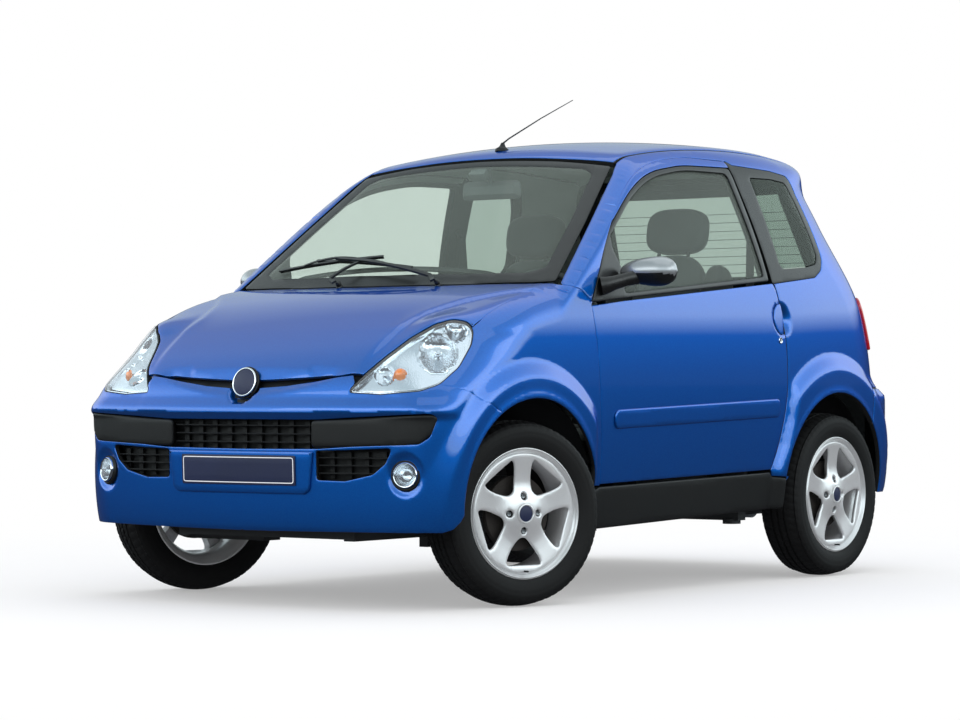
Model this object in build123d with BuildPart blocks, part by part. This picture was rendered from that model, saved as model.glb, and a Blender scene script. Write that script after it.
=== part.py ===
"""Three-door microcar: moulded panels on a light tubular frame, two seats, load space behind them.

Millimetres. X to the car's left, Y to the rear, Z up. The origin is on the ground, below the middle of
the body. The front wheels stand steered to the right, as parked.
"""

from build123d import *
from math import hypot, radians, tan
import os

os.makedirs("parts", exist_ok=True)

# ---- running gear -------------------------------------------------------------------------------
front_axle_y = -867
rear_axle_y = 891
wheel_x = 643            # centre plane of each wheel
king_x = 625             # steering axis
parked_steer = 18.5      # degrees to the right
tyre_r = 278
tyre_w = 154
rim_w = 140
flange_r = 195
bead_r = 178
barrel_wall = 7
hub_r = 62
spoke_count = 5
spoke_w = 66
stub_r = 16
disc_r = 104
disc_w = 10
disc_gap = 7             # from the knuckle's upright
joint_rise = 95          # ball joints above and below the axle
upright_w = 40
upright_l = 50
arm_w = 24

# ---- walls, gaps and fits -----------------------------------------------------------------------
wall = 45                # doors, side frames and tailgate, whole thickness
skin = 6                 # moulded outer panels
roof_wall = 24
bonnet_wall = 18
sill_wall = 30
glass = 5
glass_set = 8            # glass behind the outer surface
shut_gap = 8             # round doors, bonnet and tailgate
cowl_gap = 14            # behind the bonnet
draft = 15               # degrees, shut faces of a door
fit = 0.3                # seats between pieces that turn
pin_r = 5

# ---- wheel houses -------------------------------------------------------------------------------
arch_r = 328
arch_z = 296
front_arch_y = -880
rear_arch_y = 866
house_x = 392            # inner wall of the wheel houses
liner_wall = 4
flare_x = 746
flare_r = 446
flare_inner_x = 700
flare_foot_z = 240

# ---- frame and floor ----------------------------------------------------------------------------
rail_x = 330
rail_w = 40
rail_z = 200
rail_h = 50
floor_wall = 20
firewall_y = -545
cowl_z = 930
rear_wall_y = 1262
load_z = 430
post_x = 590             # inner face of the hinge post
post_w = 50
post_l = 108
hinge_x = 698
hinge_y = -505
swing_r = 41             # clearance round the hinge line, low on the post
belt_swing_r = 58        # and at the belt, where the door reaches further forward
hinge_heights = (470, 800)
hinge_h = 36
lid_hinge_y = -693
lid_hinge_z = 946
lid_hinge_x = 556
gate_hinge_y = 1090
gate_hinge_z = 1402
gate_hinge_x = 300
split_x = 500            # roof panel to side frame
gate_x = 505

# ---- outline tables -----------------------------------------------------------------------------
# columns: y, z, bulge of the stretch that starts there (outwards is positive); counter-clockwise
lower_side = [
    (-1296, 226, 0), (1300, 240, 10), (1372, 330, 6), (1380, 560, 3), (1350, 660, 6), (1270, 1002, 0),
    (-480, 1002, 0), (-565, 1002, 0), (-732, 966, 34), (-1340, 722, 2), (-1354, 668, 2), (-1395, 590, 2),
    (-1380, 556, 2), (-1378, 380, 12),
]
upper_side = [
    (-908, 840, 0), (1300, 840, 4), (1262, 990, 10), (1092, 1376, 8), (1060, 1412, 66), (-150, 1402, 10),
]
# columns: x, z, bulge; left half of the cross-section, bottom to top
section = [
    (0, 212, 0), (690, 212, 0), (706, 345, 3), (722, 600, 6), (696, 985, 10), (588, 1345, 16),
    (498, 1436, 14), (0, 1478, 0),
]
# columns: x, y, bulge; left half of the plan, front to rear
plan = [
    (0, -1396, 15), (598, -1336, 28), (702, -1222, 5), (724, -860, 2), (724, 560, 5), (704, 1130, 62),
    (480, 1374, 5), (0, 1386, 0),
]
# columns: x, y, bulge; left half of the cabin's tail at belt height, carried up along the rear slope
tail_plan = [(0, -1500, 0), (800, -1500, 0), (800, 1000, 0), (704, 1000, 62), (500, 1262, 8), (0, 1288, 0)]
# columns: x, radius, bulge; left half of the bonnet's cross-section, turned about a cross axis
shoulder = [(0, 600, 0), (760, 600, 0), (740, 1470, 26), (640, 1575, 6), (0, 1589, 0)]

# columns: y, z; a door's outer edge, and the panes beside and behind it
door_edge = [
    (-525, 352), (470, 371), (520, 456), (561, 607), (562, 810), (530, 960), (408, 1385), (170, 1402),
    (-30, 1378), (-200, 1310), (-392, 1132), (-545, 958), (-556, 900), (-532, 770), (-525, 616),
]
door_window = [(-440, 962), (490, 1014), (392, 1358), (140, 1372), (-30, 1346), (-176, 1284), (-338, 1122)]
quarter_window = [(572, 1010), (838, 1030), (880, 1092), (838, 1235), (745, 1350), (440, 1368)]
# columns: y, z; side frame ahead of the door and behind it
frame_edge = [
    (-533, 240), (1112, 240), (1112, 640), (1500, 640), (1500, 1500), (-700, 1500), (-700, 979),
    (-596, 950), (-552, 922), (-533, 880),
]
wing_edge = [
    (-533, 230), (-533, 880), (-552, 922), (-596, 950), (-700, 979), (-700, 1100), (-1400, 1100),
    (-1400, 700), (-1290, 684), (-1190, 660), (-1094, 618), (-1009, 570), (-880, 300), (-640, 230),
]
# columns: x, y; left half of the bonnet's plan, front to rear
bonnet_plan = [
    (0, -1500), (660, -1500), (664, -1060), (652, -900), (634, -700), (634, -692), (330, -756), (0, -776),
]
# columns: x, height along the slope, bulge; left half of the windscreen
screen_half = [(0, 0, 14), (640, 83, 0), (503, 717, 3), (0, 728, 0)]
screen_foot = (0, -735, 968)
screen_top = (0, -150, 1402)
screen_bow_r = 3890
# columns: x, z; left half of the tailgate and of its window
gate_half = [(0, 655), (gate_x, 655), (gate_x + 12, 985), (gate_x - 40, 1372), (0, 1372)]
gate_window_half = [(0, 1000), (440, 1000), (408, 1318), (0, 1322)]
# columns: along, up, bulge; left headlamp, seen square on
lamp_edge = [(-194, -98, 14), (82, -59, 22), (181, 72, 14), (150, 117, 8), (96, 112, 14), (-158, -58, 4)]
lamp_centre = (540, -1220, 740)
lamp_facing = (0.549, -0.798, 0.249)
lamp_along = (0.8213, 0.5705, 0)
lamp_depth = 70
insert_depth = 22
# columns: x, z; openings in the nose, left side
upper_grille = [(0, 480), (258, 480), (258, 566), (0, 570)]
insert_edge = [(262, 478), (480, 482), (640, 498), (688, 560), (700, 592), (300, 578), (262, 572)]
lower_grille = [(238, 386), (392, 396), (440, 440), (440, 470), (238, 472)]
fog_centre = (597, 403)
fog_r = 38
plate_half = (240, 350, 474)
# columns: y, z; tail lamp on the rear corner
tail_lamp_edge = [(1120, 770), (1600, 770), (1600, 955), (1085, 955)]


# ---- helpers ------------------------------------------------------------------------------------
def bulged(rows):
    """Lines and arcs through the rows, closed; a bulge is outwards on a counter-clockwise outline."""
    for (a, b, bulge), (c, d, _) in zip(rows, rows[1:] + rows[:1]):
        if bulge:
            run = hypot(c - a, d - b)
            middle = ((a + c) / 2 + bulge * (d - b) / run, (b + d) / 2 - bulge * (c - a) / run)
            ThreePointArc((a, b), middle, (c, d))
        else:
            Line((a, b), (c, d))


def mirrored(half):
    """A closed symmetric outline from its left half, which runs counter-clockwise from x 0 to x 0."""
    flat = [(*row, 0)[:3] for row in half]
    last = len(flat) - 1
    back = [(-flat[i][0], flat[i][1], flat[i - 1][2]) for i in range(last - 1, 0, -1)]
    return flat[:-1] + [(0, flat[last][1], flat[last - 1][2])] + back


def drawn_in(rows, amount):
    """The counter-clockwise outline with each edge moved inwards, corner for corner."""
    made = []
    for i, row in enumerate(rows):
        (py, pz), (y, z), (ny, nz) = rows[i - 1][:2], row[:2], rows[(i + 1) % len(rows)][:2]
        before, after = hypot(y - py, z - pz), hypot(ny - y, nz - z)
        ay, az = (y - py) / before, (z - pz) / before
        by, bz = (ny - y) / after, (nz - z) / after
        share = amount / (1 + ay * by + az * bz)
        made.append((y - (az + bz) * share, z + (ay + by) * share, *row[2:]))
    return made


def prism(plane, rows, length, inset=0.0):
    """An outline on a plane, drawn in by the inset and extruded along the plane's normal."""
    flat = [(*row, 0)[:3] for row in rows]
    with BuildPart(mode=Mode.PRIVATE) as made:
        with BuildSketch(plane):
            with BuildLine():
                bulged(drawn_in(flat, inset))
            make_face()
        extrude(amount=length)
    return made.part


def side_prism(rows, x0, x1, inset=0.0):
    return prism(Plane.YZ.offset(x0), rows, x1 - x0, inset)


def plan_prism(rows, z0, z1, inset=0.0):
    return prism(Plane.XY.offset(z0), rows, z1 - z0, inset)


def cross_prism(rows, y0, y1, inset=0.0):
    return prism(Plane.XZ.offset(-y1), rows, y1 - y0, inset)


def box(x0, x1, y0, y1, z0, z1):
    with BuildPart(mode=Mode.PRIVATE) as made:
        with Locations(((x0 + x1) / 2, (y0 + y1) / 2, (z0 + z1) / 2)):
            Box(x1 - x0, y1 - y0, z1 - z0)
    return made.part


def rod(start, end, radius, bore=0.0):
    """A round bar, or a tube, from start to end."""
    run = Vector(*end) - Vector(*start)
    with BuildPart(mode=Mode.PRIVATE) as made:
        with BuildSketch(Plane(origin=start, z_dir=run)):
            Circle(radius)
            if bore:
                Circle(bore, mode=Mode.SUBTRACT)
        extrude(amount=run.length)
    return made.part


def disc(x0, x1, y, z, radius, bore=0.0):
    """A disc or ring about a line along X."""
    return rod((x0, y, z), (x1, y, z), radius, bore)


def both_sides(left):
    """The left piece and its mirror image."""
    return [left, mirror(left, about=Plane.YZ, mode=Mode.PRIVATE)]


def fused(*pieces):
    """All the pieces as one."""
    with BuildPart(mode=Mode.PRIVATE) as made:
        add(list(pieces))
    return made.part


def shared(first, *others):
    """What all the pieces have in common."""
    with BuildPart(mode=Mode.PRIVATE) as made:
        add(first)
        for other in others:
            add(other, mode=Mode.INTERSECT)
    return made.part


def without(first, *others):
    """The first piece less the others."""
    with BuildPart(mode=Mode.PRIVATE) as made:
        add(first)
        add(list(others), mode=Mode.SUBTRACT)
    return made.part


def write(name, *pieces):
    """One STEP file, named for its node, with the solids of all the pieces."""
    solids = [solid for piece in pieces for solid in piece.solids()]
    with BuildPart() as node:
        add(solids)
    node.part.label = name
    export_step(node.part, f"parts/{name}.step")


def turned(piece, x, y, angle):
    """The piece turned about the upright line at x, y."""
    return piece.rotate(Axis((x, y, 0), (0, 0, 1)), angle)


# ---- the body's outer form ----------------------------------------------------------------------
def bonnet_axis():
    """The cross axis about which the bonnet's length curves."""
    (y1, z1, bulge), (y0, z0, _) = lower_side[8], lower_side[9]
    half = hypot(y1 - y0, z1 - z0) / 2
    drop = (half ** 2 - bulge ** 2) / (2 * bulge)
    uy, uz = (y1 - y0) / (2 * half), (z1 - z0) / (2 * half)
    return (y0 + y1) / 2 + uz * drop, (z0 + z1) / 2 - uy * drop


def shoulders(inset):
    """The bonnet's cross-section turned about its cross axis, and carried on to the rear."""
    y, z = bonnet_axis()
    rows = [(x, z + r, bulge) for x, r, bulge in drawn_in(mirrored(shoulder), inset)]
    with BuildPart(mode=Mode.PRIVATE) as made:
        with BuildSketch(Plane.XZ.offset(-y)):
            with BuildLine():
                bulged(rows)
            make_face()
        revolve(axis=Axis((0, y, z), (1, 0, 0)), revolution_arc=60)
        with BuildSketch(Plane.XZ.offset(-y)):
            with BuildLine():
                bulged([(x, r, 0) for x, r in [(-760, -100), (760, -100), (760, 1100), (-760, 1100)]])
            make_face()
        extrude(amount=-2000)
    return made.part


def screen_plane():
    """The windscreen's plane, its X across and its Y up the slope, facing out."""
    run = Vector(*screen_top) - Vector(*screen_foot)
    return Plane(origin=screen_foot, x_dir=(1, 0, 0), z_dir=Vector(1, 0, 0).cross(run))


def screen_barrel(inset):
    """Everything behind the bowed windscreen: a cylinder along its slope."""
    run = Vector(*screen_top) - Vector(*screen_foot)
    reach = 800
    length = 2600
    sag = screen_bow_r - (screen_bow_r ** 2 - reach ** 2) ** 0.5
    corners = [(-reach, sag), (-reach, length), (reach, length), (reach, sag)]
    with BuildPart(mode=Mode.PRIVATE) as made:
        with BuildSketch(Plane(origin=screen_foot, x_dir=(1, 0, 0), z_dir=run)):
            with BuildLine():
                Polyline(*corners)
                ThreePointArc((reach, sag), (0, inset), (-reach, sag))
            make_face()
        extrude(amount=length, both=True)
    return made.part


def tail_block(inset):
    """The cabin's plan with rounded rear corners, carried along the rear slope."""
    low_y, low_z = upper_side[2][:2]
    high_y, high_z = upper_side[3][:2]
    with BuildPart(mode=Mode.PRIVATE) as made:
        with BuildSketch(Plane.XY.offset(low_z)):
            with BuildLine():
                bulged(drawn_in(mirrored(tail_plan), inset))
            make_face()
        extrude(amount=900, both=True, dir=(0, high_y - low_y, high_z - low_z))
    return made.part


def body_form(inset):
    """The closed outer form drawn in by the inset: nose and body block, cabin on top, cut to section."""
    low = shared(
        side_prism(lower_side, -800, 800, inset),
        plan_prism(mirrored(plan), 0, 1500, inset),
        shoulders(inset),
    )
    cabin = shared(side_prism(upper_side, -800, 800, inset), tail_block(inset), screen_barrel(inset))
    return shared(fused(low, cabin), cross_prism(mirrored(section), -1500, 1500, inset))


# ---- forms, shells and cutters ------------------------------------------------------------------
def hollow(inset):
    """The form drawn in by the inset and open below, so that a shell has no floor."""
    (front_y, keel_z, _), (rear_y, _, _) = lower_side[:2]
    keel_x = section[1][0] - inset
    keel = shared(
        plan_prism(mirrored(plan), keel_z - 80, keel_z + 70, inset),
        box(-keel_x, keel_x, front_y + 6 + inset, rear_y - 6 - inset, keel_z - 80, keel_z + 70),
    )
    return fused(body_form(inset), keel)


outer = body_form(0)
under_skin = hollow(skin)
under_pane = body_form(2)
under_bonnet = body_form(bonnet_wall)
under_roof = body_form(roof_wall)
under_sill = hollow(sill_wall)
under_wall = hollow(wall)
skin_shell = without(outer, under_skin)
bonnet_shell = without(outer, under_bonnet)
roof_shell = without(outer, under_roof)
sill_shell = without(outer, under_sill)
wall_shell = without(outer, under_wall)
pane_front = body_form(glass_set)
pane_back = body_form(glass_set + glass)


def pane(outline):
    """A sheet of glass that fills an outline cut through the shell."""
    return without(shared(outline, pane_front), pane_back)


def section_x(z):
    """Half width of the cross-section at a height, along its chords."""
    for (x0, z0, _), (x1, z1, _) in zip(section[1:-1], section[2:]):
        if z <= z1:
            return x0 + (x1 - x0) * (z - z0) / (z1 - z0)
    return 0


def door_block(grow):
    """The solid that a door is cut from: its edge on the outer surface, drawn in with depth."""
    slope = tan(radians(draft))
    outer_x, inner_x = 800, 440
    grown = drawn_in(door_edge, -grow)
    far = []
    for i, (y, z) in enumerate(grown):
        reach = (outer_x - section_x(z)) * slope
        far.append(drawn_in(grown, -reach)[i])
    near = drawn_in(far, (outer_x - inner_x) * slope)
    with BuildPart(mode=Mode.PRIVATE) as made:
        for x, rows in ((inner_x, near), (outer_x, far)):
            with BuildSketch(Plane.YZ.offset(x)):
                with BuildLine():
                    Polyline(*rows, close=True)
                make_face()
        loft(ruled=True)
    return made.part


def screen_prism(grow):
    """The windscreen's outline, through the thickness of the shell."""
    face = screen_plane()
    rows = drawn_in(mirrored(screen_half), -grow)
    return prism(face.offset(-220), rows, 300)


def lamp_prism(grow):
    """The left headlamp's outline, through the corner of the nose."""
    face = Plane(origin=lamp_centre, x_dir=lamp_along, z_dir=lamp_facing)
    return prism(face.offset(-260), drawn_in(lamp_edge, -grow), 500)


def arch_cutter(y):
    """The wheel opening through the left side."""
    return disc(house_x, 900, y, arch_z, arch_r)


def flare(y):
    """The swollen lip round a wheel opening: a ring with a sloping outer face."""
    rows = [
        (arch_r, flare_inner_x), (flare_r, flare_inner_x), (flare_r, flare_inner_x + 12),
        (arch_r + 22, flare_x), (arch_r, flare_x - 3),
    ]
    with BuildPart(mode=Mode.PRIVATE) as made:
        with BuildSketch(Plane(origin=(0, y, arch_z), x_dir=(0, 0, 1), z_dir=(0, 1, 0))):
            with BuildLine():
                Polyline(*rows, close=True)
            make_face()
        revolve(axis=Axis((0, y, arch_z), (1, 0, 0)))
    return shared(made.part, box(0, 900, y - 500, y + 500, flare_foot_z, 1000))


side_slab = box(split_x, 900, -1500, 1500, 0, 1600)
door_hole = door_block(shut_gap)
door_solid = door_block(0)
screen_hole = screen_prism(0)
lamp_hole = lamp_prism(0)
lamp_clear = lamp_prism(shut_gap)
gate_hole = cross_prism(drawn_in(mirrored(gate_half), -shut_gap), 900, 1500)
gate_solid = cross_prism(mirrored(gate_half), 900, 1500)
front_arch = arch_cutter(front_arch_y)
rear_arch = arch_cutter(rear_arch_y)
bonnet_solid = shared(plan_prism(mirrored(bonnet_plan), 600, 1100), box(-800, 800, -1500, 0, 705, 1100))
bonnet_hole = shared(
    plan_prism(drawn_in(mirrored(bonnet_plan), -shut_gap), 600, 1100), box(-800, 800, -1500, 0, 697, 1100)
)
tail_lamp_solid = shared(
    side_prism(tail_lamp_edge, gate_x + shut_gap + 12, 800), box(gate_x, 800, 900, 1500, 700, 1000)
)
quarter_hole = side_prism(quarter_window, 300, 900)
window_hole = side_prism(door_window, 300, 900)

# ---- frame and floor ----------------------------------------------------------------------------
rail = box(rail_x - rail_w / 2, rail_x + rail_w / 2, -1262, 1235, rail_z, rail_z + rail_h)
cross_ys = (-1242, -590, 40, 470, 1215)
rungs = [box(-rail_x, rail_x, y - 20, y + 20, rail_z + 5, rail_z + rail_h - 5) for y in cross_ys]
pad_ys = (-440, 420)
pad_x = 590
pad_r = 30
pad_drop = 12
out_riggers = [box(rail_x, pad_x + 40, y - 22, y + 22, rail_z + 5, rail_z + rail_h - 5) for y in pad_ys]
pads = [rod((pad_x, y, rail_z + 5 - pad_drop), (pad_x, y, rail_z + 10), pad_r) for y in pad_ys]
left_frame = fused(rail, *out_riggers, *pads)
frame_piece = fused(*both_sides(left_frame), *rungs)
write("chassis_frame", frame_piece)

floor_z = rail_z + rail_h
tub_x = post_x
floor_front = firewall_y
seat_back_y = 500
floor_pan = box(-tub_x, tub_x, floor_front, seat_back_y, floor_z, floor_z + floor_wall)
firewall = box(-tub_x, tub_x, firewall_y, firewall_y + floor_wall, floor_z, cowl_z)
riser = box(-tub_x, tub_x, seat_back_y, seat_back_y + floor_wall, floor_z, load_z)
load_floor = box(-house_x + 6, house_x - 6, seat_back_y, rear_wall_y, load_z - floor_wall, load_z)
rear_wall = box(-620, 620, rear_wall_y - floor_wall, rear_wall_y, floor_z, 620)
shelf = box(-tub_x, tub_x, -756, firewall_y + floor_wall, cowl_z - 8, cowl_z)
tub = without(
    shared(fused(floor_pan, firewall, riser, load_floor, rear_wall, shelf), under_wall),
    *both_sides(disc(house_x, 700, rear_arch_y, arch_z, arch_r + liner_wall)),
)
write("cabin_tub", tub)

# ---- side frames --------------------------------------------------------------------------------
post_plate = without(
    shared(box(post_x, 760, firewall_y - 15, firewall_y + 5, floor_z, 888), under_skin),
    shared(door_hole, box(post_x + post_w + 8, 900, -700, 0, 0, 1000)),
)
post = box(post_x, post_x + post_w, firewall_y, firewall_y + post_l, floor_z, 955)
rocker = box(tub_x, 670, firewall_y, 520, floor_z, 338)
side_shell = without(
    shared(wall_shell, side_slab, side_prism(frame_edge, 400, 900)),
    door_hole, screen_hole, gate_hole, tail_lamp_solid, quarter_hole,
)
rear_flare = without(
    shared(flare(rear_arch_y), side_prism(frame_edge, 400, 900)), door_hole, under_roof
)
hinge_rods = [
    rod((hinge_x, hinge_y, z - hinge_h), (hinge_x, hinge_y, z + hinge_h), pin_r) for z in hinge_heights
]
hinge_arms = [
    box(post_x + post_w, hinge_x, hinge_y - 10, hinge_y + 10, z - hinge_h / 2, z + hinge_h / 2)
    for z in hinge_heights
]
hinge_rolls = [
    rod((hinge_x, hinge_y, z - hinge_h / 2), (hinge_x, hinge_y, z + hinge_h / 2), 10) for z in hinge_heights
]
hinge_parts = [fused(*three) for three in zip(hinge_rods, hinge_arms, hinge_rolls)]
sill_band = [(-556, 190), (530, 190), (530, 366), (-556, 344)]
sill_solid = side_prism(sill_band, 672, 900)
swing_bands = [(swing_r, 340, 800), (belt_swing_r, 800, 1010)]
door_swing = [rod((hinge_x, hinge_y, z0), (hinge_x, hinge_y, z1), r) for r, z0, z1 in swing_bands]
side_frame = without(
    fused(side_shell, rear_flare, post_plate, post, rocker), rear_arch, front_arch, sill_solid, *door_swing,
)
for name, piece in zip(("body_side_left", "body_side_right"), both_sides(side_frame)):
    write(name, piece)
sill = without(shared(sill_shell, sill_solid), rear_arch, front_arch, post_plate, rear_flare)
write("sills", *both_sides(sill))
write("door_hinges", *[half for part in hinge_parts for half in both_sides(part)])

# ---- roof, glass and cowl -----------------------------------------------------------------------
roof = without(
    shared(roof_shell, box(-split_x, split_x, -400, 1500, 1300, 1600)),
    screen_hole, gate_hole,
    *[box(x - 34, x + 34, gate_hinge_y - 13, gate_hinge_y + 20, gate_hinge_z - 60, gate_hinge_z + 20)
      for x in (-gate_hinge_x, gate_hinge_x)],
)
write("roof_panel", roof)
screen = shared(screen_hole, outer, box(-800, 800, -900, 0, 900, 1600))
write("windscreen", without(screen, body_form(glass)))
quarter_pane = pane(shared(quarter_hole, side_slab))
write("quarter_windows", *both_sides(quarter_pane))
cowl_rows = [
    (-500, -712), (-330, -756 + cowl_gap), (0, -776 + cowl_gap), (330, -756 + cowl_gap), (500, -712),
    (500, -560), (-500, -560),
]
spindle_xs = (250, -150)
spindle_y = -741
spindles = [rod((x, spindle_y, cowl_z), (x, spindle_y, 980), 7) for x in spindle_xs]
cowl = without(shared(roof_shell, plan_prism(cowl_rows, 900, 1100)), screen_hole, side_slab, *spindles)
write("cowl_panel", cowl)

# ---- nose and tail panels -----------------------------------------------------------------------
wing = without(
    shared(skin_shell, side_prism(wing_edge, 560, 900)),
    bonnet_hole, lamp_hole, front_arch, screen_hole, door_hole, sill_solid,
    box(-900, 600, -760, 0, 900, 1100),
)
front_flare = without(
    shared(flare(front_arch_y), side_prism(wing_edge, 400, 900)), under_skin, door_hole, sill_solid
)
write("front_wings", *both_sides(fused(wing, front_flare)))

nose_edge = [
    (-1500, 200), (-540, 200), (-640, 230), (-880, 300), (-1009, 570), (-1094, 618), (-1190, 660),
    (-1290, 684), (-1400, 700), (-1500, 700),
]
nose_block = side_prism(nose_edge, -900, 900)
nose_flare = without(shared(flare(front_arch_y), side_prism(nose_edge, 400, 900)), under_skin)
plate_box = shared(box(-plate_half[0], plate_half[0], -1390, -1340, plate_half[1], plate_half[2]),
                   without(box(-300, 300, -1390, -1330, 300, 500), under_skin))
grille_holes = [cross_prism(mirrored(upper_grille), -1500, -1250)]
grille_holes += both_sides(cross_prism(lower_grille, -1500, -1250))
insert_holes = both_sides(cross_prism(insert_edge, -1500, -1226))


def fog_rod(y0, y1, radius):
    """A round bar along the left fog lamp's line of sight."""
    x, z = fog_centre
    return rod((x, y0, z), (x, y1, z), radius)


fog_holes = both_sides(fog_rod(-1200, -1400, fog_r + 4))
bumper = without(
    fused(shared(skin_shell, nose_block), *both_sides(nose_flare)),
    *both_sides(lamp_hole), *both_sides(front_arch), *grille_holes, *insert_holes, *fog_holes, bonnet_hole,
)
write("front_bumper", fused(bumper, plate_box))
under_insert = body_form(insert_depth)
write("bumper_inserts", *[without(shared(hole, outer), under_insert) for hole in insert_holes])

slat_h = 8
slat_count = 3
grille_back_y = -1354


def slats(x0, x1, z0, z1):
    """Level grille bars on a backing plate that follows the bumper's inner face."""
    pitch = (z1 - z0) / (slat_count + 1)
    bars = [
        shared(box(x0, x1, -1450, grille_back_y, z - slat_h / 2, z + slat_h / 2), under_pane)
        for z in [z0 + pitch * (i + 1) for i in range(slat_count)]
    ]
    back = shared(box(x0 - 8, x1 + 8, -1450, grille_back_y, z0 - 8, z1 + 8), under_skin)
    return fused(back, *bars)


main_grille = slats(-250, 250, 484, 562)
side_grille = slats(246, 400, 400, 464)
write("grilles", main_grille, *both_sides(side_grille))
fog_barrel = fog_rod(-1255, -1326, fog_r)
fog_flange = fog_rod(-1262, -1360, fog_r + 12)
fog_ring = shared(without(fog_flange, fog_rod(-1290, -1400, fog_r)), under_skin)
write("fog_lamps", *both_sides(fused(fog_barrel, fog_ring)))
lamp = without(shared(lamp_hole, outer), body_form(lamp_depth))
write("headlamps", *both_sides(lamp))
rear_low = side_prism([(1112, 200), (1500, 200), (1500, 640), (1112, 640)], -900, 900)
rear_bumper = without(
    shared(skin_shell, rear_low), *both_sides(rear_arch), gate_hole, *both_sides(side_frame)
)
write("rear_bumper", rear_bumper)
tail_lamp = shared(sill_shell, tail_lamp_solid)
write("tail_lamps", *both_sides(tail_lamp))

# ---- doors --------------------------------------------------------------------------------------
notch = [box(post_x, hinge_x + 12, -600, hinge_y + 22, z - hinge_h / 2 - 6, z + hinge_h / 2 + 6)
         for z in hinge_heights]
bores = [rod((hinge_x, hinge_y, z - hinge_h - 1), (hinge_x, hinge_y, z + hinge_h + 1), pin_r + fit)
         for z in hinge_heights]
mouldings = [(-440, 530), (505, 556), (500, 602), (-430, 580)]
door_skin = shared(wall_shell, door_solid, box(480, 900, -700, 700, 0, 1600))
moulding = without(shared(side_prism(mouldings, 500, 900), door_solid, body_form(-4)), under_skin)
handle_cup = disc(690, 900, 517, 869, 42)
door = without(fused(door_skin, moulding), window_hole, handle_cup, *notch, *bores)
door_pane = pane(shared(window_hole, box(480, 900, -700, 700, 0, 1600)))
# columns: x, y; the mirror's foot and head from above
sail = [
    (664, -462), (706, -470), (722, -510), (742, -514), (800, -470), (880, -360), (884, -300),
    (860, -296), (800, -330), (760, -400), (724, -430), (664, -430),
]
mirror_head = without(plan_prism(sail, 960, 1044), outer)
door_parts = (("door_panel", door), ("door_glass", door_pane), ("door_mirror", mirror_head))
for name, piece in door_parts:
    for side, half in zip(("left", "right"), both_sides(piece)):
        write(f"{name}_{side}", half)

# ---- bonnet and tailgate ------------------------------------------------------------------------
lid_pin = [rod((x - 30, lid_hinge_y, lid_hinge_z), (x + 30, lid_hinge_y, lid_hinge_z), pin_r)
           for x in (-lid_hinge_x, lid_hinge_x)]
lid_post = [box(x - 8, x + 8, lid_hinge_y - 9, lid_hinge_y + 9, cowl_z - 12, lid_hinge_z + 4)
            for x in (-lid_hinge_x, lid_hinge_x)]
lid_lugs = [box(x + s - 7, x + s + 7, lid_hinge_y - 70, lid_hinge_y + 9, lid_hinge_z - 9, lid_hinge_z + 12)
            for x in (-lid_hinge_x, lid_hinge_x) for s in (-21, 21)]
lid_bores = [rod((x - 40, lid_hinge_y, lid_hinge_z), (x + 40, lid_hinge_y, lid_hinge_z), pin_r + fit)
             for x in (-lid_hinge_x, lid_hinge_x)]
bonnet_skin = without(shared(bonnet_shell, bonnet_solid), *both_sides(lamp_clear), screen_prism(12))
bonnet = without(fused(bonnet_skin, *[shared(lug, outer) for lug in lid_lugs]), *lid_bores)
write("bonnet_panel", bonnet)
gate_pin = [rod((x - 26, gate_hinge_y, gate_hinge_z), (x + 26, gate_hinge_y, gate_hinge_z), 4)
            for x in (-gate_hinge_x, gate_hinge_x)]
gate_post = [box(x - 8, x + 8, gate_hinge_y - 50, gate_hinge_y + 6, gate_hinge_z - 8, gate_hinge_z + 6)
             for x in (-gate_hinge_x, gate_hinge_x)]
gate_lug_xs = [x + s for x in (-gate_hinge_x, gate_hinge_x) for s in (-18, 18)]
gate_lugs = [box(x - 6, x + 6, gate_hinge_y - 7, gate_hinge_y + 10, gate_hinge_z - 50, gate_hinge_z + 7)
             for x in gate_lug_xs]
gate_bores = [rod((x - 40, gate_hinge_y, gate_hinge_z), (x + 40, gate_hinge_y, gate_hinge_z), 4 + fit)
              for x in (-gate_hinge_x, gate_hinge_x)]
gate_window = cross_prism(mirrored(gate_window_half), 900, 1500)
gate_skin = without(shared(wall_shell, gate_solid), gate_window)
write("tailgate_panel", without(fused(gate_skin, *gate_lugs), *gate_bores))
write("rear_window", pane(gate_window))
lid_stands = [without(fused(*pair), tub) for pair in zip(lid_pin, lid_post)]
gate_stands = [without(fused(*pair), roof) for pair in zip(gate_pin, gate_post)]
write("lid_hinges", *lid_stands, *gate_stands)


# ---- wheels -------------------------------------------------------------------------------------
def wheel_profile(rows, y, z, x):
    """A profile of radius and distance along the axle, turned about a line along X."""
    with BuildPart(mode=Mode.PRIVATE) as made:
        with BuildSketch(Plane(origin=(x, y, z), x_dir=(0, 0, 1), z_dir=(0, 1, 0))):
            with BuildLine():
                bulged(rows)
            make_face()
        revolve(axis=Axis((x, y, z), (1, 0, 0)))
    return made.part


half_rim = rim_w / 2
half_tyre = tyre_w / 2
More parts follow.
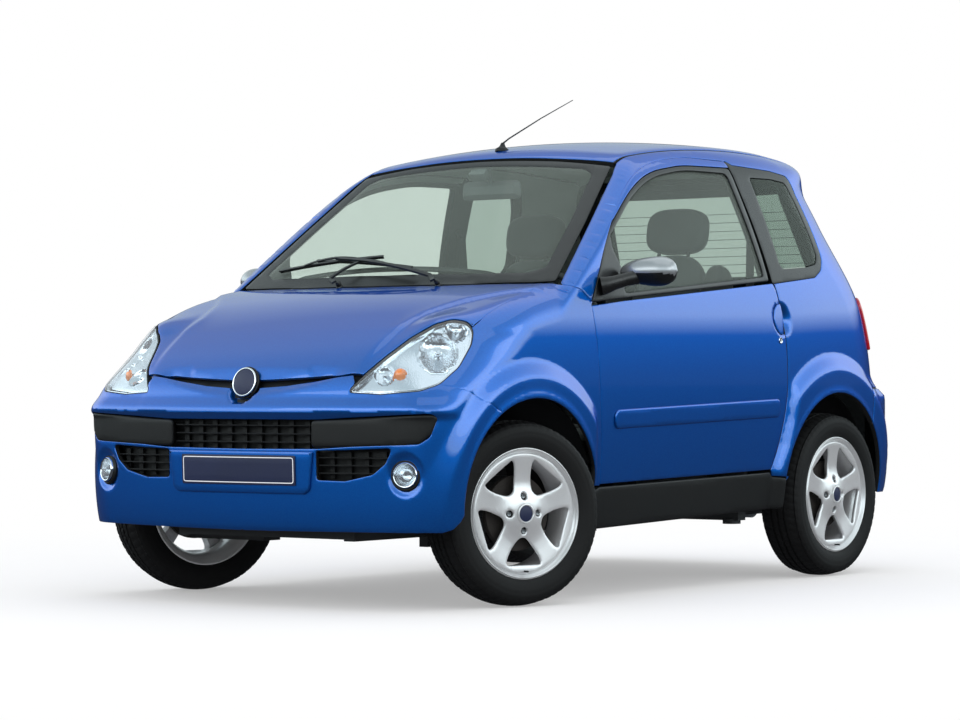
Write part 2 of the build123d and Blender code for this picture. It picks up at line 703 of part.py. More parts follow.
# columns: radius, distance outwards, bulge
rim_rows = [
    (bead_r - barrel_wall, half_rim - 12, 0), (bead_r - barrel_wall - 14, 20, 0),
    (bead_r - barrel_wall - 14, -20, 0), (bead_r - barrel_wall, 12 - half_rim, 0),
    (flange_r - barrel_wall, -half_rim, 0), (flange_r, -half_rim, 0), (flange_r, 8 - half_rim, 0),
    (bead_r, 8 - half_rim, 0), (bead_r, -24, 0), (bead_r - 14, -16, 0), (bead_r - 14, 16, 0),
    (bead_r, 24, 0), (bead_r, half_rim - 8, 0), (flange_r, half_rim - 8, 0), (flange_r, half_rim, 0),
    (flange_r - barrel_wall, half_rim, 0),
]
tyre_rows = [
    (bead_r, half_rim - 8, 0), (bead_r, 26, 0), (bead_r + 12, 20, 0), (bead_r + 12, -20, 0),
    (bead_r, -26, 0), (bead_r, 8 - half_rim, 0), (flange_r + 1, 8 - half_rim, 0),
    (flange_r + 3, -half_rim, 8),
    (tyre_r - 12, -half_tyre + 5, 5), (tyre_r, -half_tyre + 22, 0),
    (tyre_r, half_tyre - 22, 5), (tyre_r - 12, half_tyre - 5, 8), (flange_r + 3, half_rim, 0),
    (flange_r + 1, half_rim - 8, 0),
]
face_out = 50            # spoke faces, outwards of the centre plane
face_in = 26
disc_x = wheel_x - king_x - upright_w / 2


def wheel(x, y):
    """Tyre and rim on the left side, the brake disc bolted inside the hub."""
    tyre = wheel_profile(tyre_rows, y, tyre_r, x)
    barrel = wheel_profile(rim_rows, y, tyre_r, x)
    hub = wheel_profile([
        (stub_r + fit, face_in - 14, 0), (stub_r + fit, face_out + 6, 0), (34, face_out + 6, 0),
        (hub_r, face_out, 0), (hub_r, face_in - 14, 0),
    ], y, tyre_r, x)
    with BuildPart(mode=Mode.PRIVATE) as spokes:
        with BuildSketch(Plane.YZ.offset(x + face_in)):
            with Locations((y, tyre_r)):
                with PolarLocations(0, spoke_count, start_angle=90):
                    with Locations((bead_r / 2, 0)):
                        Rectangle(bead_r - 8, spoke_w)
        extrude(amount=face_out - face_in)
    arms = without(spokes.part, disc(x - 100, x + 100, y, tyre_r, stub_r + fit + 1))
    return tyre, fused(barrel, hub, arms)


front_tyre, front_rim = wheel(wheel_x, front_axle_y)
rear_tyre, rear_rim = wheel(wheel_x, rear_axle_y)
axle_z = tyre_r
upright = box(king_x - upright_w / 2, king_x + upright_w / 2, front_axle_y - upright_l / 2,
              front_axle_y + upright_l / 2, axle_z - joint_rise + 16, axle_z + joint_rise - 16)
stub = rod((king_x, front_axle_y, axle_z), (wheel_x + face_out, front_axle_y, axle_z), stub_r)
steer_arm = box(king_x - 8, king_x + 8, front_axle_y, front_axle_y + 105, axle_z - 44, axle_z - 28)
ball_bore = rod((king_x, front_axle_y, axle_z - 120), (king_x, front_axle_y, axle_z + 120), 8 + fit)
bore_ends = without(ball_bore, disc(king_x - 30, 700, front_axle_y, axle_z, 40))
knuckle = without(fused(upright, stub, steer_arm), bore_ends)
steered = (("knuckle", knuckle), ("front_tyre", front_tyre), ("front_rim", front_rim))
for name, piece in steered:
    for side, half in zip(("left", "right"), both_sides(piece)):
        sign = 1 if side == "left" else -1
        write(f"{name}_{side}", turned(half, sign * king_x, front_axle_y, -parked_steer))
for name, piece in (("rear_tyre", rear_tyre), ("rear_rim", rear_rim)):
    for side, half in zip(("left", "right"), both_sides(piece)):
        write(f"{name}_{side}", half)

# ---- suspension, power train, tank --------------------------------------------------------------
arms = [box(rail_x - 10, king_x + 18, front_axle_y - arm_w, front_axle_y + arm_w, z - 9, z + 9)
        for z in (axle_z - joint_rise - 6, axle_z + joint_rise + 6)]
pins = [rod((king_x, front_axle_y, z0), (king_x, front_axle_y, z1), 8)
        for z0, z1 in ((axle_z - joint_rise - 6, axle_z - 50), (axle_z + 50, axle_z + joint_rise + 6))]
hangers = [box(rail_x - 16, rail_x + 16, front_axle_y - 40, front_axle_y + 40, z0, z1)
           for z0, z1 in ((axle_z - joint_rise - 15, rail_z), (rail_z + rail_h, 600))]
spring = rod((rail_x + 44, front_axle_y, axle_z - joint_rise), (rail_x + 34, front_axle_y, 590), 18)
shaft = rod((250, front_axle_y, axle_z), (king_x - 55, front_axle_y, axle_z), 13)
left_front = fused(*arms, *pins, *hangers, spring, shaft)
write("front_suspension", *both_sides(left_front))
beam = rod((-560, rear_axle_y, axle_z), (560, rear_axle_y, axle_z), 24)
stubs = both_sides(rod((550, rear_axle_y, axle_z), (wheel_x + face_out, rear_axle_y, axle_z), stub_r))
drums = both_sides(disc(552, 600, rear_axle_y, axle_z, 90))
trailing_arm = box(
    rail_x - 18, rail_x + 18, rear_axle_y - 330, rear_axle_y + 30, rail_z + rail_h, axle_z + 10
)
write("rear_axle", fused(beam, *stubs, *drums, *both_sides(trailing_arm)))
write("engine_block", box(-250, 250, -1180, -700, rail_z + 20, 620))
write("fuel_tank", box(-290, 290, 560, 800, rail_z + 20, load_z - floor_wall))
silencer = rod((-120, 1130, 225), (220, 1130, 225), 48)
tail_pipe = rod((-100, 1130, 186), (-100, 1330, 186), 16)
hanger = box(30, 60, 1150, 1195, rail_z + 10, rail_z + 40)
write("exhaust", fused(silencer, tail_pipe, hanger))
upper_half = box(300, 900, -1400, 1400, 260, 800)


def liner(y, inner_form):
    """The left wheel housing at an arch: a ring and its inner wall, kept inside the skin."""
    ring = disc(house_x, 720, y, arch_z, arch_r + liner_wall, arch_r)
    back = disc(house_x - liner_wall, house_x, y, arch_z, arch_r + liner_wall)
    opening = box(300, 500, y - 400, y + 400, 0, 400)
    return without(shared(fused(ring, without(back, opening)), upper_half, inner_form), side_frame, sill)


front_liner = liner(front_arch_y, under_skin)
rear_liner = liner(rear_arch_y, under_wall)
write("arch_liners", *both_sides(front_liner), *both_sides(rear_liner))

# ---- cabin fittings -----------------------------------------------------------------------------
dash_back_y = firewall_y + floor_wall
dash_rows = [(dash_back_y, 640), (-330, 640), (-270, 760), (-280, 860), (-340, 910), (dash_back_y, 935)]
column_start = (300, -300, 800)
wheel_centre = (300, -170, 872)
hub_half = 8
rim_axis = Vector(0, 130, 72)
column_end = Vector(*wheel_centre) - rim_axis.normalized() * (hub_half + fit)
column = rod(column_start, tuple(column_end), 26)
write("dashboard", fused(side_prism(dash_rows, -580, 580), column))
with BuildPart() as steering_wheel:
    with BuildSketch(Plane(origin=wheel_centre, x_dir=(1, 0, 0), z_dir=rim_axis)):
        Circle(182)
        Circle(156, mode=Mode.SUBTRACT)
    extrude(amount=13, both=True)
    with BuildSketch(Plane(origin=wheel_centre, x_dir=(1, 0, 0), z_dir=rim_axis)):
        Circle(56)
        with PolarLocations(0, 3, start_angle=90):
            with Locations((85, 0)):
                Rectangle(150, 34)
    extrude(amount=hub_half, both=True)
write("steering_wheel", steering_wheel.part)
seat_base = [(-60, 400), (400, 360), (430, 420), (420, 500), (0, 520), (-80, 470)]
seat_back = [(330, 470), (440, 480), (560, 1050), (530, 1100), (440, 1090), (330, 600)]
seat_rest = [(505, 1140), (575, 1150), (590, 1280), (540, 1310), (490, 1290)]
seat_x = 300
seat_w = 460
rest_w = 260


def seat(x):
    base = side_prism(seat_base, x - seat_w / 2, x + seat_w / 2)
    back = side_prism(seat_back, x - seat_w / 2 + 10, x + seat_w / 2 - 10)
    rest = side_prism(seat_rest, x - rest_w / 2, x + rest_w / 2)
    stems = [rod((x + s, 500, 1060), (x + s, 540, 1200), 6) for s in (-60, 60)]
    frame = box(x - 190, x + 190, -20, 380, floor_z + floor_wall, 410)
    return fused(base, back, rest, *stems, frame)


write("seat_left", seat(seat_x))
write("seat_right", seat(-seat_x))
mirror_stem = rod((0, -120, 1310), (0, -128, 1396), 8)
write("interior_mirror", without(fused(box(-120, 120, -130, -110, 1270, 1335), mirror_stem), roof))
arms = [rod((x, spindle_y, 976), (x - 330, -668, 1046), 6) for x in spindle_xs]
write("wipers", *[fused(*two) for two in zip(spindles, arms)])
aerial_foot = rod((0, -54, 1430), (0, -30, 1462), 16)
aerial_mast = rod((0, -54, 1444), (0, 346, 1630), 3)
write("aerial", without(fused(aerial_foot, aerial_mast), roof))
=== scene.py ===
"""A three-door microcar, dressed: painted skins, glass, lamps, wheels and cabin over the fixed frame.

Metres for every mesh, millimetres in the shape functions. X to the car's left, Y to the rear, Z up.
"""

import bmesh
import bpy
import numpy as np
from mathutils import Matrix, Vector
from mathutils.geometry import delaunay_2d_cdt


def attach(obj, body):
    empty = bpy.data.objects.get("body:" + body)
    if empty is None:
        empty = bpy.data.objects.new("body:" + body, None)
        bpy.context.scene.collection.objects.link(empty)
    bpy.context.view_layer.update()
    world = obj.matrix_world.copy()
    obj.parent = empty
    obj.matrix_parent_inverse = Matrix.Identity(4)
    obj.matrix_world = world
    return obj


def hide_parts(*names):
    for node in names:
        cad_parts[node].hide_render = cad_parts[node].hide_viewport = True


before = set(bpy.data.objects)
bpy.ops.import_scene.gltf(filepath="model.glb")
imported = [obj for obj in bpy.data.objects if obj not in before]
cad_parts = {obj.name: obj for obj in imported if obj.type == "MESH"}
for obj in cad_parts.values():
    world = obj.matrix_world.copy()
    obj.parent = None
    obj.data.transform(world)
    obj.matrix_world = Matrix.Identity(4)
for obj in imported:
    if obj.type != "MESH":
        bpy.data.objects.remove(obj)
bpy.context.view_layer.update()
MM = 0.001

# ---- driving sizes, mm --------------------------------------------------------------------------
TYRE_R = 278
FRONT_AXLE_Y, REAR_AXLE_Y = -867, 891
WHEEL_X, KING_X = 643, 625
PARKED_STEER = 18.5      # degrees, to the car's right
ARCH_R, ARCH_Z = 328, 296
FRONT_ARCH_Y, REAR_ARCH_Y = -880, 866
FLARE_H = 22
FRONT_FLARE_R, REAR_FLARE_R = 440, 462
GAP = 4.5                # shut gaps between painted panels
EDGE_R = 2.2             # rounding of a panel's edge
SCREEN_FOOT = np.array([0.0, -735.0, 968.0])
SCREEN_NORMAL = np.array([0.0, -0.5958, 0.8031])
SCREEN_UP = np.array([0.0, 0.8031, 0.5958])
SCREEN_BOW_R = 3890
BONNET_AXIS = (-453.0, -599.0)
BONNET_R = 1589
NOSE_BOW_R, TAIL_BOW_R, BONNET_BOW_R = 3500.0, 7000.0, 14600.0    # how each face bows across the car
NOSE_U, TAIL_U = -2142.5, 2142.5    # the wrapped sheet's places of the nose's and tail's middle
BADGE_Z = 668
BOTH = ["chassis", "chassis"]
DOORS = ["door_left", "door_right"]


# ---- the body's form ----------------------------------------------------------------------------
def smooth_curve(rows, degree):
    """The polynomial of the given degree that passes nearest to the rows of (place, value)."""
    places, values = np.array(rows, float).T
    middle, half = (places.max() + places.min()) / 2, (places.max() - places.min()) / 2
    terms = np.polyfit((places - middle) / half, values, degree)
    low, high = places.min(), places.max()
    return lambda t: np.polyval(terms, (np.clip(t, low, high) - middle) / half)


def smooth_max(a, b, k):
    """The larger of a and b, rounded off where they are within k of each other."""
    h = np.maximum(k - np.abs(a - b), 0) / k
    return np.maximum(a, b) + h * h * k / 4


def step(t):
    """0 below 0, 1 above 1, and a smooth rise between."""
    t = np.clip(t, 0, 1)
    return t * t * (3 - 2 * t)


# columns: height, half width of the body's middle
half_width = smooth_curve(
    [(200, 690), (345, 707), (480, 718), (600, 724), (740, 723), (860, 715), (985, 697), (1100, 668),
     (1220, 632), (1345, 588), (1440, 552)], 5)
# columns: height, front face on the centre line, without the crease over the grille
nose_face = smooth_curve(
    [(226, -1366), (300, -1376), (400, -1380), (480, -1379), (600, -1378), (653, -1371), (701, -1355),
     (728, -1339), (766, -1310), (820, -1262)], 4)
# columns: height, rear face on the centre line, without the bumper's step
tail_face = smooth_curve(
    [(240, 1330), (400, 1346), (560, 1343), (660, 1334), (800, 1311), (990, 1262), (1180, 1185),
     (1363, 1099), (1420, 1068)], 4)
# columns: distance back, height of the roof on the centre line
roof_line = smooth_curve(
    [(-300, 1378), (-150, 1417), (100, 1462), (455, 1484), (800, 1478), (1060, 1446), (1200, 1418)], 4)


def door_tail(z):
    """How far back the door's rear edge is at a height."""
    return np.interp(z, [371, 456, 540, 607, 700, 810, 975], [478, 518, 548, 562, 567, 564, 536])


def flare_height(y, z, centre, reach, door_side):
    """How far a wheel arch's flare stands out: a band that rises towards the lip in one soft step.

    It dies away towards the door's shut line, so the door itself stays flush.
    """
    r = np.hypot(y - centre, z - ARCH_Z)
    rise = np.clip((reach - r) / 52, 0, 1)
    lip = 2.5 * step((ARCH_R + 24 - r) / 20)
    return (FLARE_H * (0.8 * rise + 0.2 * step(rise)) + lip) * step(door_side / 42)


def form(p):
    """Signed distance-like value at points in mm: below 0 inside the body.

    Lower block: the rounded largest of side, nose, tail and bonnet. Cabin: the same of side, screen, roof
    and tail. The body is the lesser of the two, so they meet without a step where they share a side; the
    cabin's lower end is let down beside the pillars' feet, so that it meets the wings there too. The bonnet
    stands 8 mm higher between its two long creases than outside them, the nose has a smile-shaped scoop
    over the grille, and a soft swelling is added over each headlamp's shoulder.
    """
    x, y, z = np.abs(p[..., 0]), p[..., 1], p[..., 2]
    width = half_width(z) - 16 * step((-y - 700) / 900) - 26 * step((y - 600) / 900)
    width = width + flare_height(y, z, FRONT_ARCH_Y, FRONT_FLARE_R, -532 - y)
    width = width + flare_height(y, z, REAR_ARCH_Y, REAR_FLARE_R, y - door_tail(z))
    side = x - width
    crease = 17 * step((z - 562) / 24) * (1 - step((z - 590) / 44))
    smile = z - 632 - 50 * (x / 335) ** 2
    scoop = 13 * step(smile / 15) * step((400 - x) / 60) * (1 - step((z - 700) / 6))
    nose = nose_face(z) - crease + scoop + x * x / (2 * NOSE_BOW_R) - y + 60 * step((250 - z) / 70) ** 2
    ledge = 36 * step((650 - z) / 36) - 55 * step((320 - z) / 110) ** 2
    tail = y + x * x / (2 * TAIL_BOW_R) - tail_face(z) - ledge
    r = np.hypot(np.minimum(y - BONNET_AXIS[0], 0), z - BONNET_AXIS[1])
    bonnet = r - BONNET_R + x * x / (2 * BONNET_BOW_R) + 160 * step((y + 450) / 400)
    ridge = np.interp(y, [-1295, -1182, -1048, -923, -820, -740], [402, 414, 432, 486, 560, 640])
    bonnet = bonnet + 8 * step((x - ridge) / 30) - 8
    lower = smooth_max(side, nose, 105 + 225 * step((z - 575) / 210))
    lower = smooth_max(lower, tail, 160 + 100 * step((z - 600) / 90))
    lower = smooth_max(lower, bonnet, 90)
    screen = (y - SCREEN_FOOT[1]) * SCREEN_NORMAL[1] + (z - SCREEN_FOOT[2]) * SCREEN_NORMAL[2] \
        + x * x / (2 * SCREEN_BOW_R)
    roof = z - roof_line(y) + 36 * (x / 498) ** 2
    rear = smooth_max(side, tail, 260 + 110 * step((z - 900) / 300) - 110 * step((z - 1290) / 110))
    cabin = smooth_max(rear, roof, 96 - 72 * step((y - 800) / 250))
    cabin = smooth_max(cabin, screen, 26)
    floor = 700 + 230 * step((-300 - y) / 260) - 90 * step((x - 590) / 50) * step((-300 - y) / 260)
    shoulder = 22 * np.exp(-((x - 560) / 95) ** 2 - ((y + 1125) / 115) ** 2 - ((z - 845) / 75) ** 2)
    return np.minimum(lower, np.maximum(cabin, floor - z)) - shoulder


def form_normal(p):
    """Outward unit normals: the form's slope by central differences."""
    e = 1.0
    grads = [form(p + way * e) - form(p - way * e) for way in np.eye(3)]
    n = np.stack(grads, -1)
    return n / np.linalg.norm(n, axis=-1, keepdims=True)


class Plane:
    """A flat drawing plane, in mm: lift() drops its points straight onto the body's form."""

    def __init__(self, origin, across, up):
        self.o, self.u = np.array(origin, float), np.array(across, float)
        self.u /= np.linalg.norm(self.u)
        v = np.array(up, float) - self.u * np.dot(up, self.u)
        self.v = v / np.linalg.norm(v)
        self.out = np.cross(self.u, self.v)

    def rays(self, uv):
        """Where each flat point's ray starts, and its way."""
        start = self.o + uv[..., :1] * self.u + uv[..., 1:2] * self.v
        return start, np.broadcast_to(-self.out, start.shape)

    def flat(self, p):
        """The flat places of points in space."""
        p = np.asarray(p, float) - self.o
        return np.stack([p @ self.u, p @ self.v], -1)

    def lift(self, uv, depth=0.0):
        """Halve the interval along each ray to meet the form, then sink by the depth along the normal."""
        start, ray = self.rays(np.asarray(uv, float))
        near, far = np.zeros(start.shape[:-1]), np.full(start.shape[:-1], 1100.0)
        for _ in range(28):
            mid = (near + far) / 2
            inside = form(start + mid[..., None] * ray) < 0
            far, near = np.where(inside, mid, far), np.where(inside, near, mid)
        p = start + far[..., None] * ray
        return p - np.asarray(depth)[..., None] * form_normal(p)


class Belt(Plane):
    """A drawing sheet wrapped round the body: u runs along a rounded rectangle from the left side's middle
    to the rear, v is the height. Its rays point inwards, square to the rectangle."""

    straight, radius, half = 900.0, 600.0, 300.0

    def __init__(self):
        self.quarter = self.straight + self.radius * np.pi / 2 + self.half
        angles = np.linspace(0, np.pi / 2, 60)
        turn = np.stack([np.cos(angles), np.sin(angles)], -1)
        corner = turn * self.radius + [self.half, self.straight]
        spots = np.concatenate([[[self.half + self.radius, 0]], corner, [[0, self.straight + self.radius]]])
        ways = np.concatenate([[[1, 0]], turn, [[0, 1]]])
        u = np.concatenate([[0], self.straight + self.radius * angles, [self.quarter]])
        mirror_x, mirror_y = np.array([-1, 1]), np.array([1, -1])
        us = np.concatenate([-2 * self.quarter + u, -u[::-1], u, 2 * self.quarter - u[::-1]])
        self.us = us
        self.spots = np.concatenate([spots * mirror_x * mirror_y, (spots * mirror_y)[::-1], spots,
                                     (spots * mirror_x)[::-1]])
        self.ways = np.concatenate([ways * mirror_x * mirror_y, (ways * mirror_y)[::-1], ways,
                                    (ways * mirror_x)[::-1]])

    def rays(self, uv):
        """Where each ray starts on the rounded rectangle, and its level way inwards."""
        spot = [np.interp(uv[..., 0], self.us, self.spots[:, i]) for i in (0, 1)]
        way = np.stack([np.interp(uv[..., 0], self.us, self.ways[:, i]) for i in (0, 1)], -1)
        way = way / np.linalg.norm(way, axis=-1, keepdims=True)
        ray = np.concatenate([-way, np.zeros(way.shape[:-1] + (1,))], -1)
        return np.stack([spot[0], spot[1], uv[..., 1]], -1), ray

    def flat(self, p):
        """The sheet's place for points near the body, the inverse of its rays."""
        p = np.asarray(p, float)
        x, y = np.abs(p[..., 0]), np.abs(p[..., 1])
        angle = np.arctan2(np.maximum(y - self.straight, 0), np.maximum(x - self.half, 1e-6))
        u = np.where(y < self.straight, y, self.straight + self.radius * angle)
        u = u + np.maximum(self.half - x, 0) * (y >= self.straight)
        u = u * np.where(p[..., 1] < 0, -1, 1)
        u = np.where(p[..., 0] < 0, np.where(p[..., 1] < 0, -2, 2) * self.quarter - u, u)
        return np.stack([u, p[..., 2]], -1)


class Relief(Plane):
    """A flat plane whose surface is a height field instead of the body's form."""

    def __init__(self, origin, across, up, height):
        super().__init__(origin, across, up)
        self.height = height

    def lift(self, uv, depth=0.0):
        """The height field's points, sunk by the depth along its own normal."""
        uv = np.asarray(uv, float)
        e = 0.5
        slope = [(self.height(uv + d) - self.height(uv - d)) / (2 * e) for d in np.eye(2) * e]
        n = self.out - slope[0][..., None] * self.u - slope[1][..., None] * self.v
        n /= np.linalg.norm(n, axis=-1, keepdims=True)
        start, _ = self.rays(uv)
        return start + self.height(uv)[..., None] * self.out - np.asarray(depth)[..., None] * n


BELT = Belt()
TOP = Plane((0, 0, 1800), (1, 0, 0), (0, 1, 0))
FRONT = Plane((0, -1700, 0), (1, 0, 0), (0, 0, 1))
REAR = Plane((0, 1700, 0), (-1, 0, 0), (0, 0, 1))
SCREEN = Plane(SCREEN_FOOT + 300 * SCREEN_NORMAL, (1, 0, 0), SCREEN_UP)


# ---- outlines -----------------------------------------------------------------------------------
def outline(rows, pitch=7.0):
    """A closed loop of evenly spaced points through the rows (u, v, radius): straight runs with each
    corner rounded by an arc of that radius, or left sharp at 0."""
    rows = [(*row, 0)[:3] for row in rows]
    made = []
    for i, (u, v, radius) in enumerate(rows):
        here = np.array([u, v], float)
        before, after = (np.array(rows[j % len(rows)][:2], float) - here for j in (i - 1, i + 1))
        lb, la = np.linalg.norm(before), np.linalg.norm(after)
        before, after = before / lb, after / la
        half = np.arccos(np.clip(np.dot(before, after), -1, 1)) / 2
        back = min(radius / max(np.tan(half), 1e-3), lb * 0.49, la * 0.49)
        if radius <= 0 or half > np.pi / 2 - 0.02:
            made.append(here[None])
            continue
        t = np.linspace(0, 1, max(3, int(back / 3)))[:, None]
        a, b = here + before * back, here + after * back
        made.append((1 - t) ** 2 * a + 2 * t * (1 - t) * here + t ** 2 * b)
    return spaced(np.concatenate(made), pitch)


def spaced(points, pitch, closed=True):
    """The same line with more points: each run is cut into equal parts no longer than the pitch."""
    points = np.asarray(points, float)
    ends = np.roll(points, -1, 0) if closed else points[1:]
    starts = points if closed else points[:-1]
    parts = []
    for a, b in zip(starts, ends):
        run = np.linalg.norm(b - a)
        if run < 1e-6:
            continue
        count = max(1, int(np.ceil(run / pitch)))
        parts.append(a + np.arange(count)[:, None] / count * (b - a))
    if not closed:
        parts.append(points[-1:])
    return np.concatenate(parts)


def circle(u, v, radius, count=48, squeeze=1.0):
    """A closed loop on a circle or ellipse, counter-clockwise."""
    a = np.arange(count) / count * 2 * np.pi
    return np.stack([u + radius * np.cos(a), v + radius * squeeze * np.sin(a)], -1)


def area(loop):
    """The area inside a loop, below 0 if it is drawn clockwise."""
    nxt = np.roll(loop, -1, 0)
    return 0.5 * np.sum(loop[:, 0] * nxt[:, 1] - nxt[:, 0] * loop[:, 1])


def inset(loop, amount):
    """Each point moved to the left of the loop's direction: into the sheet for an outer edge drawn
    counter-clockwise, and for a hole drawn clockwise."""
    before, after = loop - np.roll(loop, 1, 0), np.roll(loop, -1, 0) - loop
    before /= np.linalg.norm(before, axis=1, keepdims=True)
    after /= np.linalg.norm(after, axis=1, keepdims=True)
    left = np.stack([-(before + after)[:, 1], (before + after)[:, 0]], -1)
    size = np.maximum(1 + np.sum(before * after, 1, keepdims=True), 0.5)
    return loop + left / size * amount


def within(points, loop):
    """Which points lie inside a loop, by counting the edges that cross a ray to the right."""
    inside = np.zeros(len(points), bool)
    for (u0, v0), (u1, v1) in zip(loop, np.roll(loop, -1, 0)):
        if v0 != v1:
            crosses = (v0 > points[:, 1]) != (v1 > points[:, 1])
            inside ^= crosses & (points[:, 0] < (u1 - u0) * (points[:, 1] - v0) / (v1 - v0) + u0)
    return inside


def sheet_mesh(loops, spacing):
    """Points and triangles that fill the first loop less the others: a level grid inside, joined to the
    loops' own points. The loops' points come first, in order."""
    edge = np.concatenate(loops)
    low, high = edge.min(0), edge.max(0)
    counts = np.maximum(((high - low) / spacing).astype(int), 1)
    grid = np.stack(np.meshgrid(*[low[i] + spacing * (np.arange(counts[i] + 1)) for i in (0, 1)]), -1)
    grid = grid.reshape(-1, 2)
    keep = within(grid, loops[0])
    for hole in loops[1:]:
        keep &= ~within(grid, hole)
    grid = grid[keep]
    for part in np.array_split(edge, max(1, len(edge) // 100)):
        if len(grid):
            gap = np.min(np.hypot(grid[:, None, 0] - part[:, 0], grid[:, None, 1] - part[:, 1]), 1)
            grid = grid[gap > 0.55 * spacing]
    points = np.concatenate([edge, grid])
    ties, start = [], 0
    for loop in loops:
        ties += [(start + i, start + (i + 1) % len(loop)) for i in range(len(loop))]
        start += len(loop)
    _, _, tris, origin, _, _ = delaunay_2d_cdt([Vector(p) for p in points], ties, [], 0, 1e-5)
    back = np.array([o[0] if o else -1 for o in origin])
    tris = back[np.array([t for t in tris if len(t) == 3])]
    tris = tris[(tris >= 0).all(1)]
    middle = points[tris].mean(1)
    keep = within(middle, loops[0])
    for hole in loops[1:]:
        keep &= ~within(middle, hole)
    tris = tris[keep]
    a, b, c = (points[tris[:, i]] for i in range(3))
    turn = (b[:, 0] - a[:, 0]) * (c[:, 1] - a[:, 1]) - (b[:, 1] - a[:, 1]) * (c[:, 0] - a[:, 0])
    tris[turn < 0] = tris[turn < 0][:, ::-1]
    return points, tris[np.abs(turn) > 1e-6]


# ---- making pieces ------------------------------------------------------------------------------
def turned_out(piece, merge):
    """Doubles merged within a distance in mm, if it isn't 0, and faces turned outwards."""
    bm = bmesh.new()
    bm.from_mesh(piece.data)
    if merge:
        bmesh.ops.remove_doubles(bm, verts=bm.verts, dist=merge * MM)
    bmesh.ops.recalc_face_normals(bm, faces=bm.faces)
    bm.to_mesh(piece.data)
    bm.free()
    piece.data.update()


def build(name, verts, faces, mats, body, slot=None, which=None, sharp=38.0, merge=None):
    """A mesh object from millimetre points. `which` gives each face's material, and `merge` turns the
    faces outwards after merging doubles."""
    mesh = bpy.data.meshes.new(name)
    mesh.from_pydata((np.asarray(verts) * MM).tolist(), [], [list(map(int, f)) for f in faces])
    for mat in mats:
        mesh.materials.append(mat)
    if which is not None:
        mesh.polygons.foreach_set("material_index", np.asarray(which, np.int32))
    mesh.polygons.foreach_set("use_smooth", np.full(len(mesh.polygons), True))
    mesh.validate()
    mesh.set_sharp_from_angle(angle=np.radians(sharp))
    piece = bpy.data.objects.new(name, mesh)
    bpy.context.scene.collection.objects.link(piece)
    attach(piece, body)
    if merge is not None:
        turned_out(piece, merge)
    return piece


def mirrored_faces(verts, faces):
    """The piece on the car's other side: X turned round, and each face's order with it."""
    return np.asarray(verts) * [-1, 1, 1], [tuple(f)[::-1] for f in faces]


def ring_faces(rings, points, wrap_rings=False, wrap_points=True):
    """Four-sided faces between rings of points; either way may close on itself."""
    i, j = np.meshgrid(np.arange(rings if wrap_rings else rings - 1),
                       np.arange(points if wrap_points else points - 1), indexing="ij")
    i_next, j_next = (i + 1) % rings, (j + 1) % points
    corners = [i * points + j, i * points + j_next, i_next * points + j_next, i_next * points + j]
    return np.stack(corners, -1).reshape(-1, 4)


def capped(quads, rings, points):
    """The faces of an open tube, with one face over each end."""
    return list(map(tuple, quads)) + [tuple(range(points))[::-1],
                                      tuple(range((rings - 1) * points, rings * points))]


def panel_mesh(view, loops, thick=16.0, spacing=14.0, edge=EDGE_R, draft=0.0, proud=0.0, relief=None,
               inside=2):
    """A closed panel that follows the view's surface inside the loops.

    The face is a filled sheet drawn in by the edge radius; three rings roll over the edge; a wall goes
    down by the thickness, drawn in by the draft; a second sheet closes the back. `relief` gives further
    depth at flat points. Returns points, faces and each face's material number: 0 face, 1 wall, 2 back.
    """
    loops = [loop if (area(loop) > 0) == (i == 0) else loop[::-1] for i, loop in enumerate(loops)]
    depth_at = (lambda uv: relief(uv) - proud) if relief else (lambda uv: np.full(uv.shape[:-1], -proud))
    flat, tris = sheet_mesh([inset(loop, edge) for loop in loops], spacing)
    verts, faces, kinds = [view.lift(flat, depth_at(flat))], list(map(tuple, tris)), [0] * len(tris)
    count = len(flat)
    back_flat, back_tris = sheet_mesh([inset(loop, edge + draft * thick) for loop in loops], spacing * inside)
    back_start = count
    verts.append(view.lift(back_flat, depth_at(back_flat) * 0 - proud + thick))
    faces += [(a + back_start, c + back_start, b + back_start) for a, b, c in back_tris]
    kinds += [2] * len(back_tris)
    count += len(back_flat)
    angles = np.radians([30, 60, 90])
    first = 0
    for loop in loops:
        n = len(loop)
        rings = [np.arange(first, first + n)]
        for a in angles:
            ring = inset(loop, edge * (1 - np.sin(a)))
            verts.append(view.lift(ring, depth_at(ring) + edge * (1 - np.cos(a))))
            rings.append(np.arange(count, count + n))
            count += n
        rings.append(np.arange(back_start + first, back_start + first + n))
        for upper, lower in zip(rings[:-1], rings[1:]):
            wall = lower is rings[-1]
            nxt_u, nxt_l = np.roll(upper, -1), np.roll(lower, -1)
            faces += list(zip(upper, lower, nxt_l, nxt_u))
            kinds += [1 if wall else 0] * n
        first += n
    return np.concatenate(verts), faces, kinds


def sweep_mesh(path, section, closed=False, upright=(0, 0, 1)):
    """A section (across, up) in mm carried along a path; each ring is square to the path, its up as near
    the given direction as can be. Open ends are capped. `section` may hold one outline a path point."""
    path = np.asarray(path, float)
    section = np.asarray(section, float)
    if section.ndim == 2:
        section = np.broadcast_to(section, (len(path),) + section.shape)
    if closed:
        along = np.roll(path, -1, 0) - np.roll(path, 1, 0)
    else:
        along = np.gradient(path, axis=0)
    along /= np.linalg.norm(along, axis=1, keepdims=True)
    up = np.broadcast_to(np.asarray(upright, float), path.shape)
    side = np.cross(along, up)
    side /= np.maximum(np.linalg.norm(side, axis=1, keepdims=True), 1e-9)
    up = np.cross(side, along)
    rings = path[:, None] + section[..., :1] * side[:, None] + section[..., 1:2] * up[:, None]
    n, m = len(path), section.shape[1]
    quads = ring_faces(n, m, closed)
    return rings.reshape(-1, 3), list(map(tuple, quads)) if closed else capped(quads, n, m)


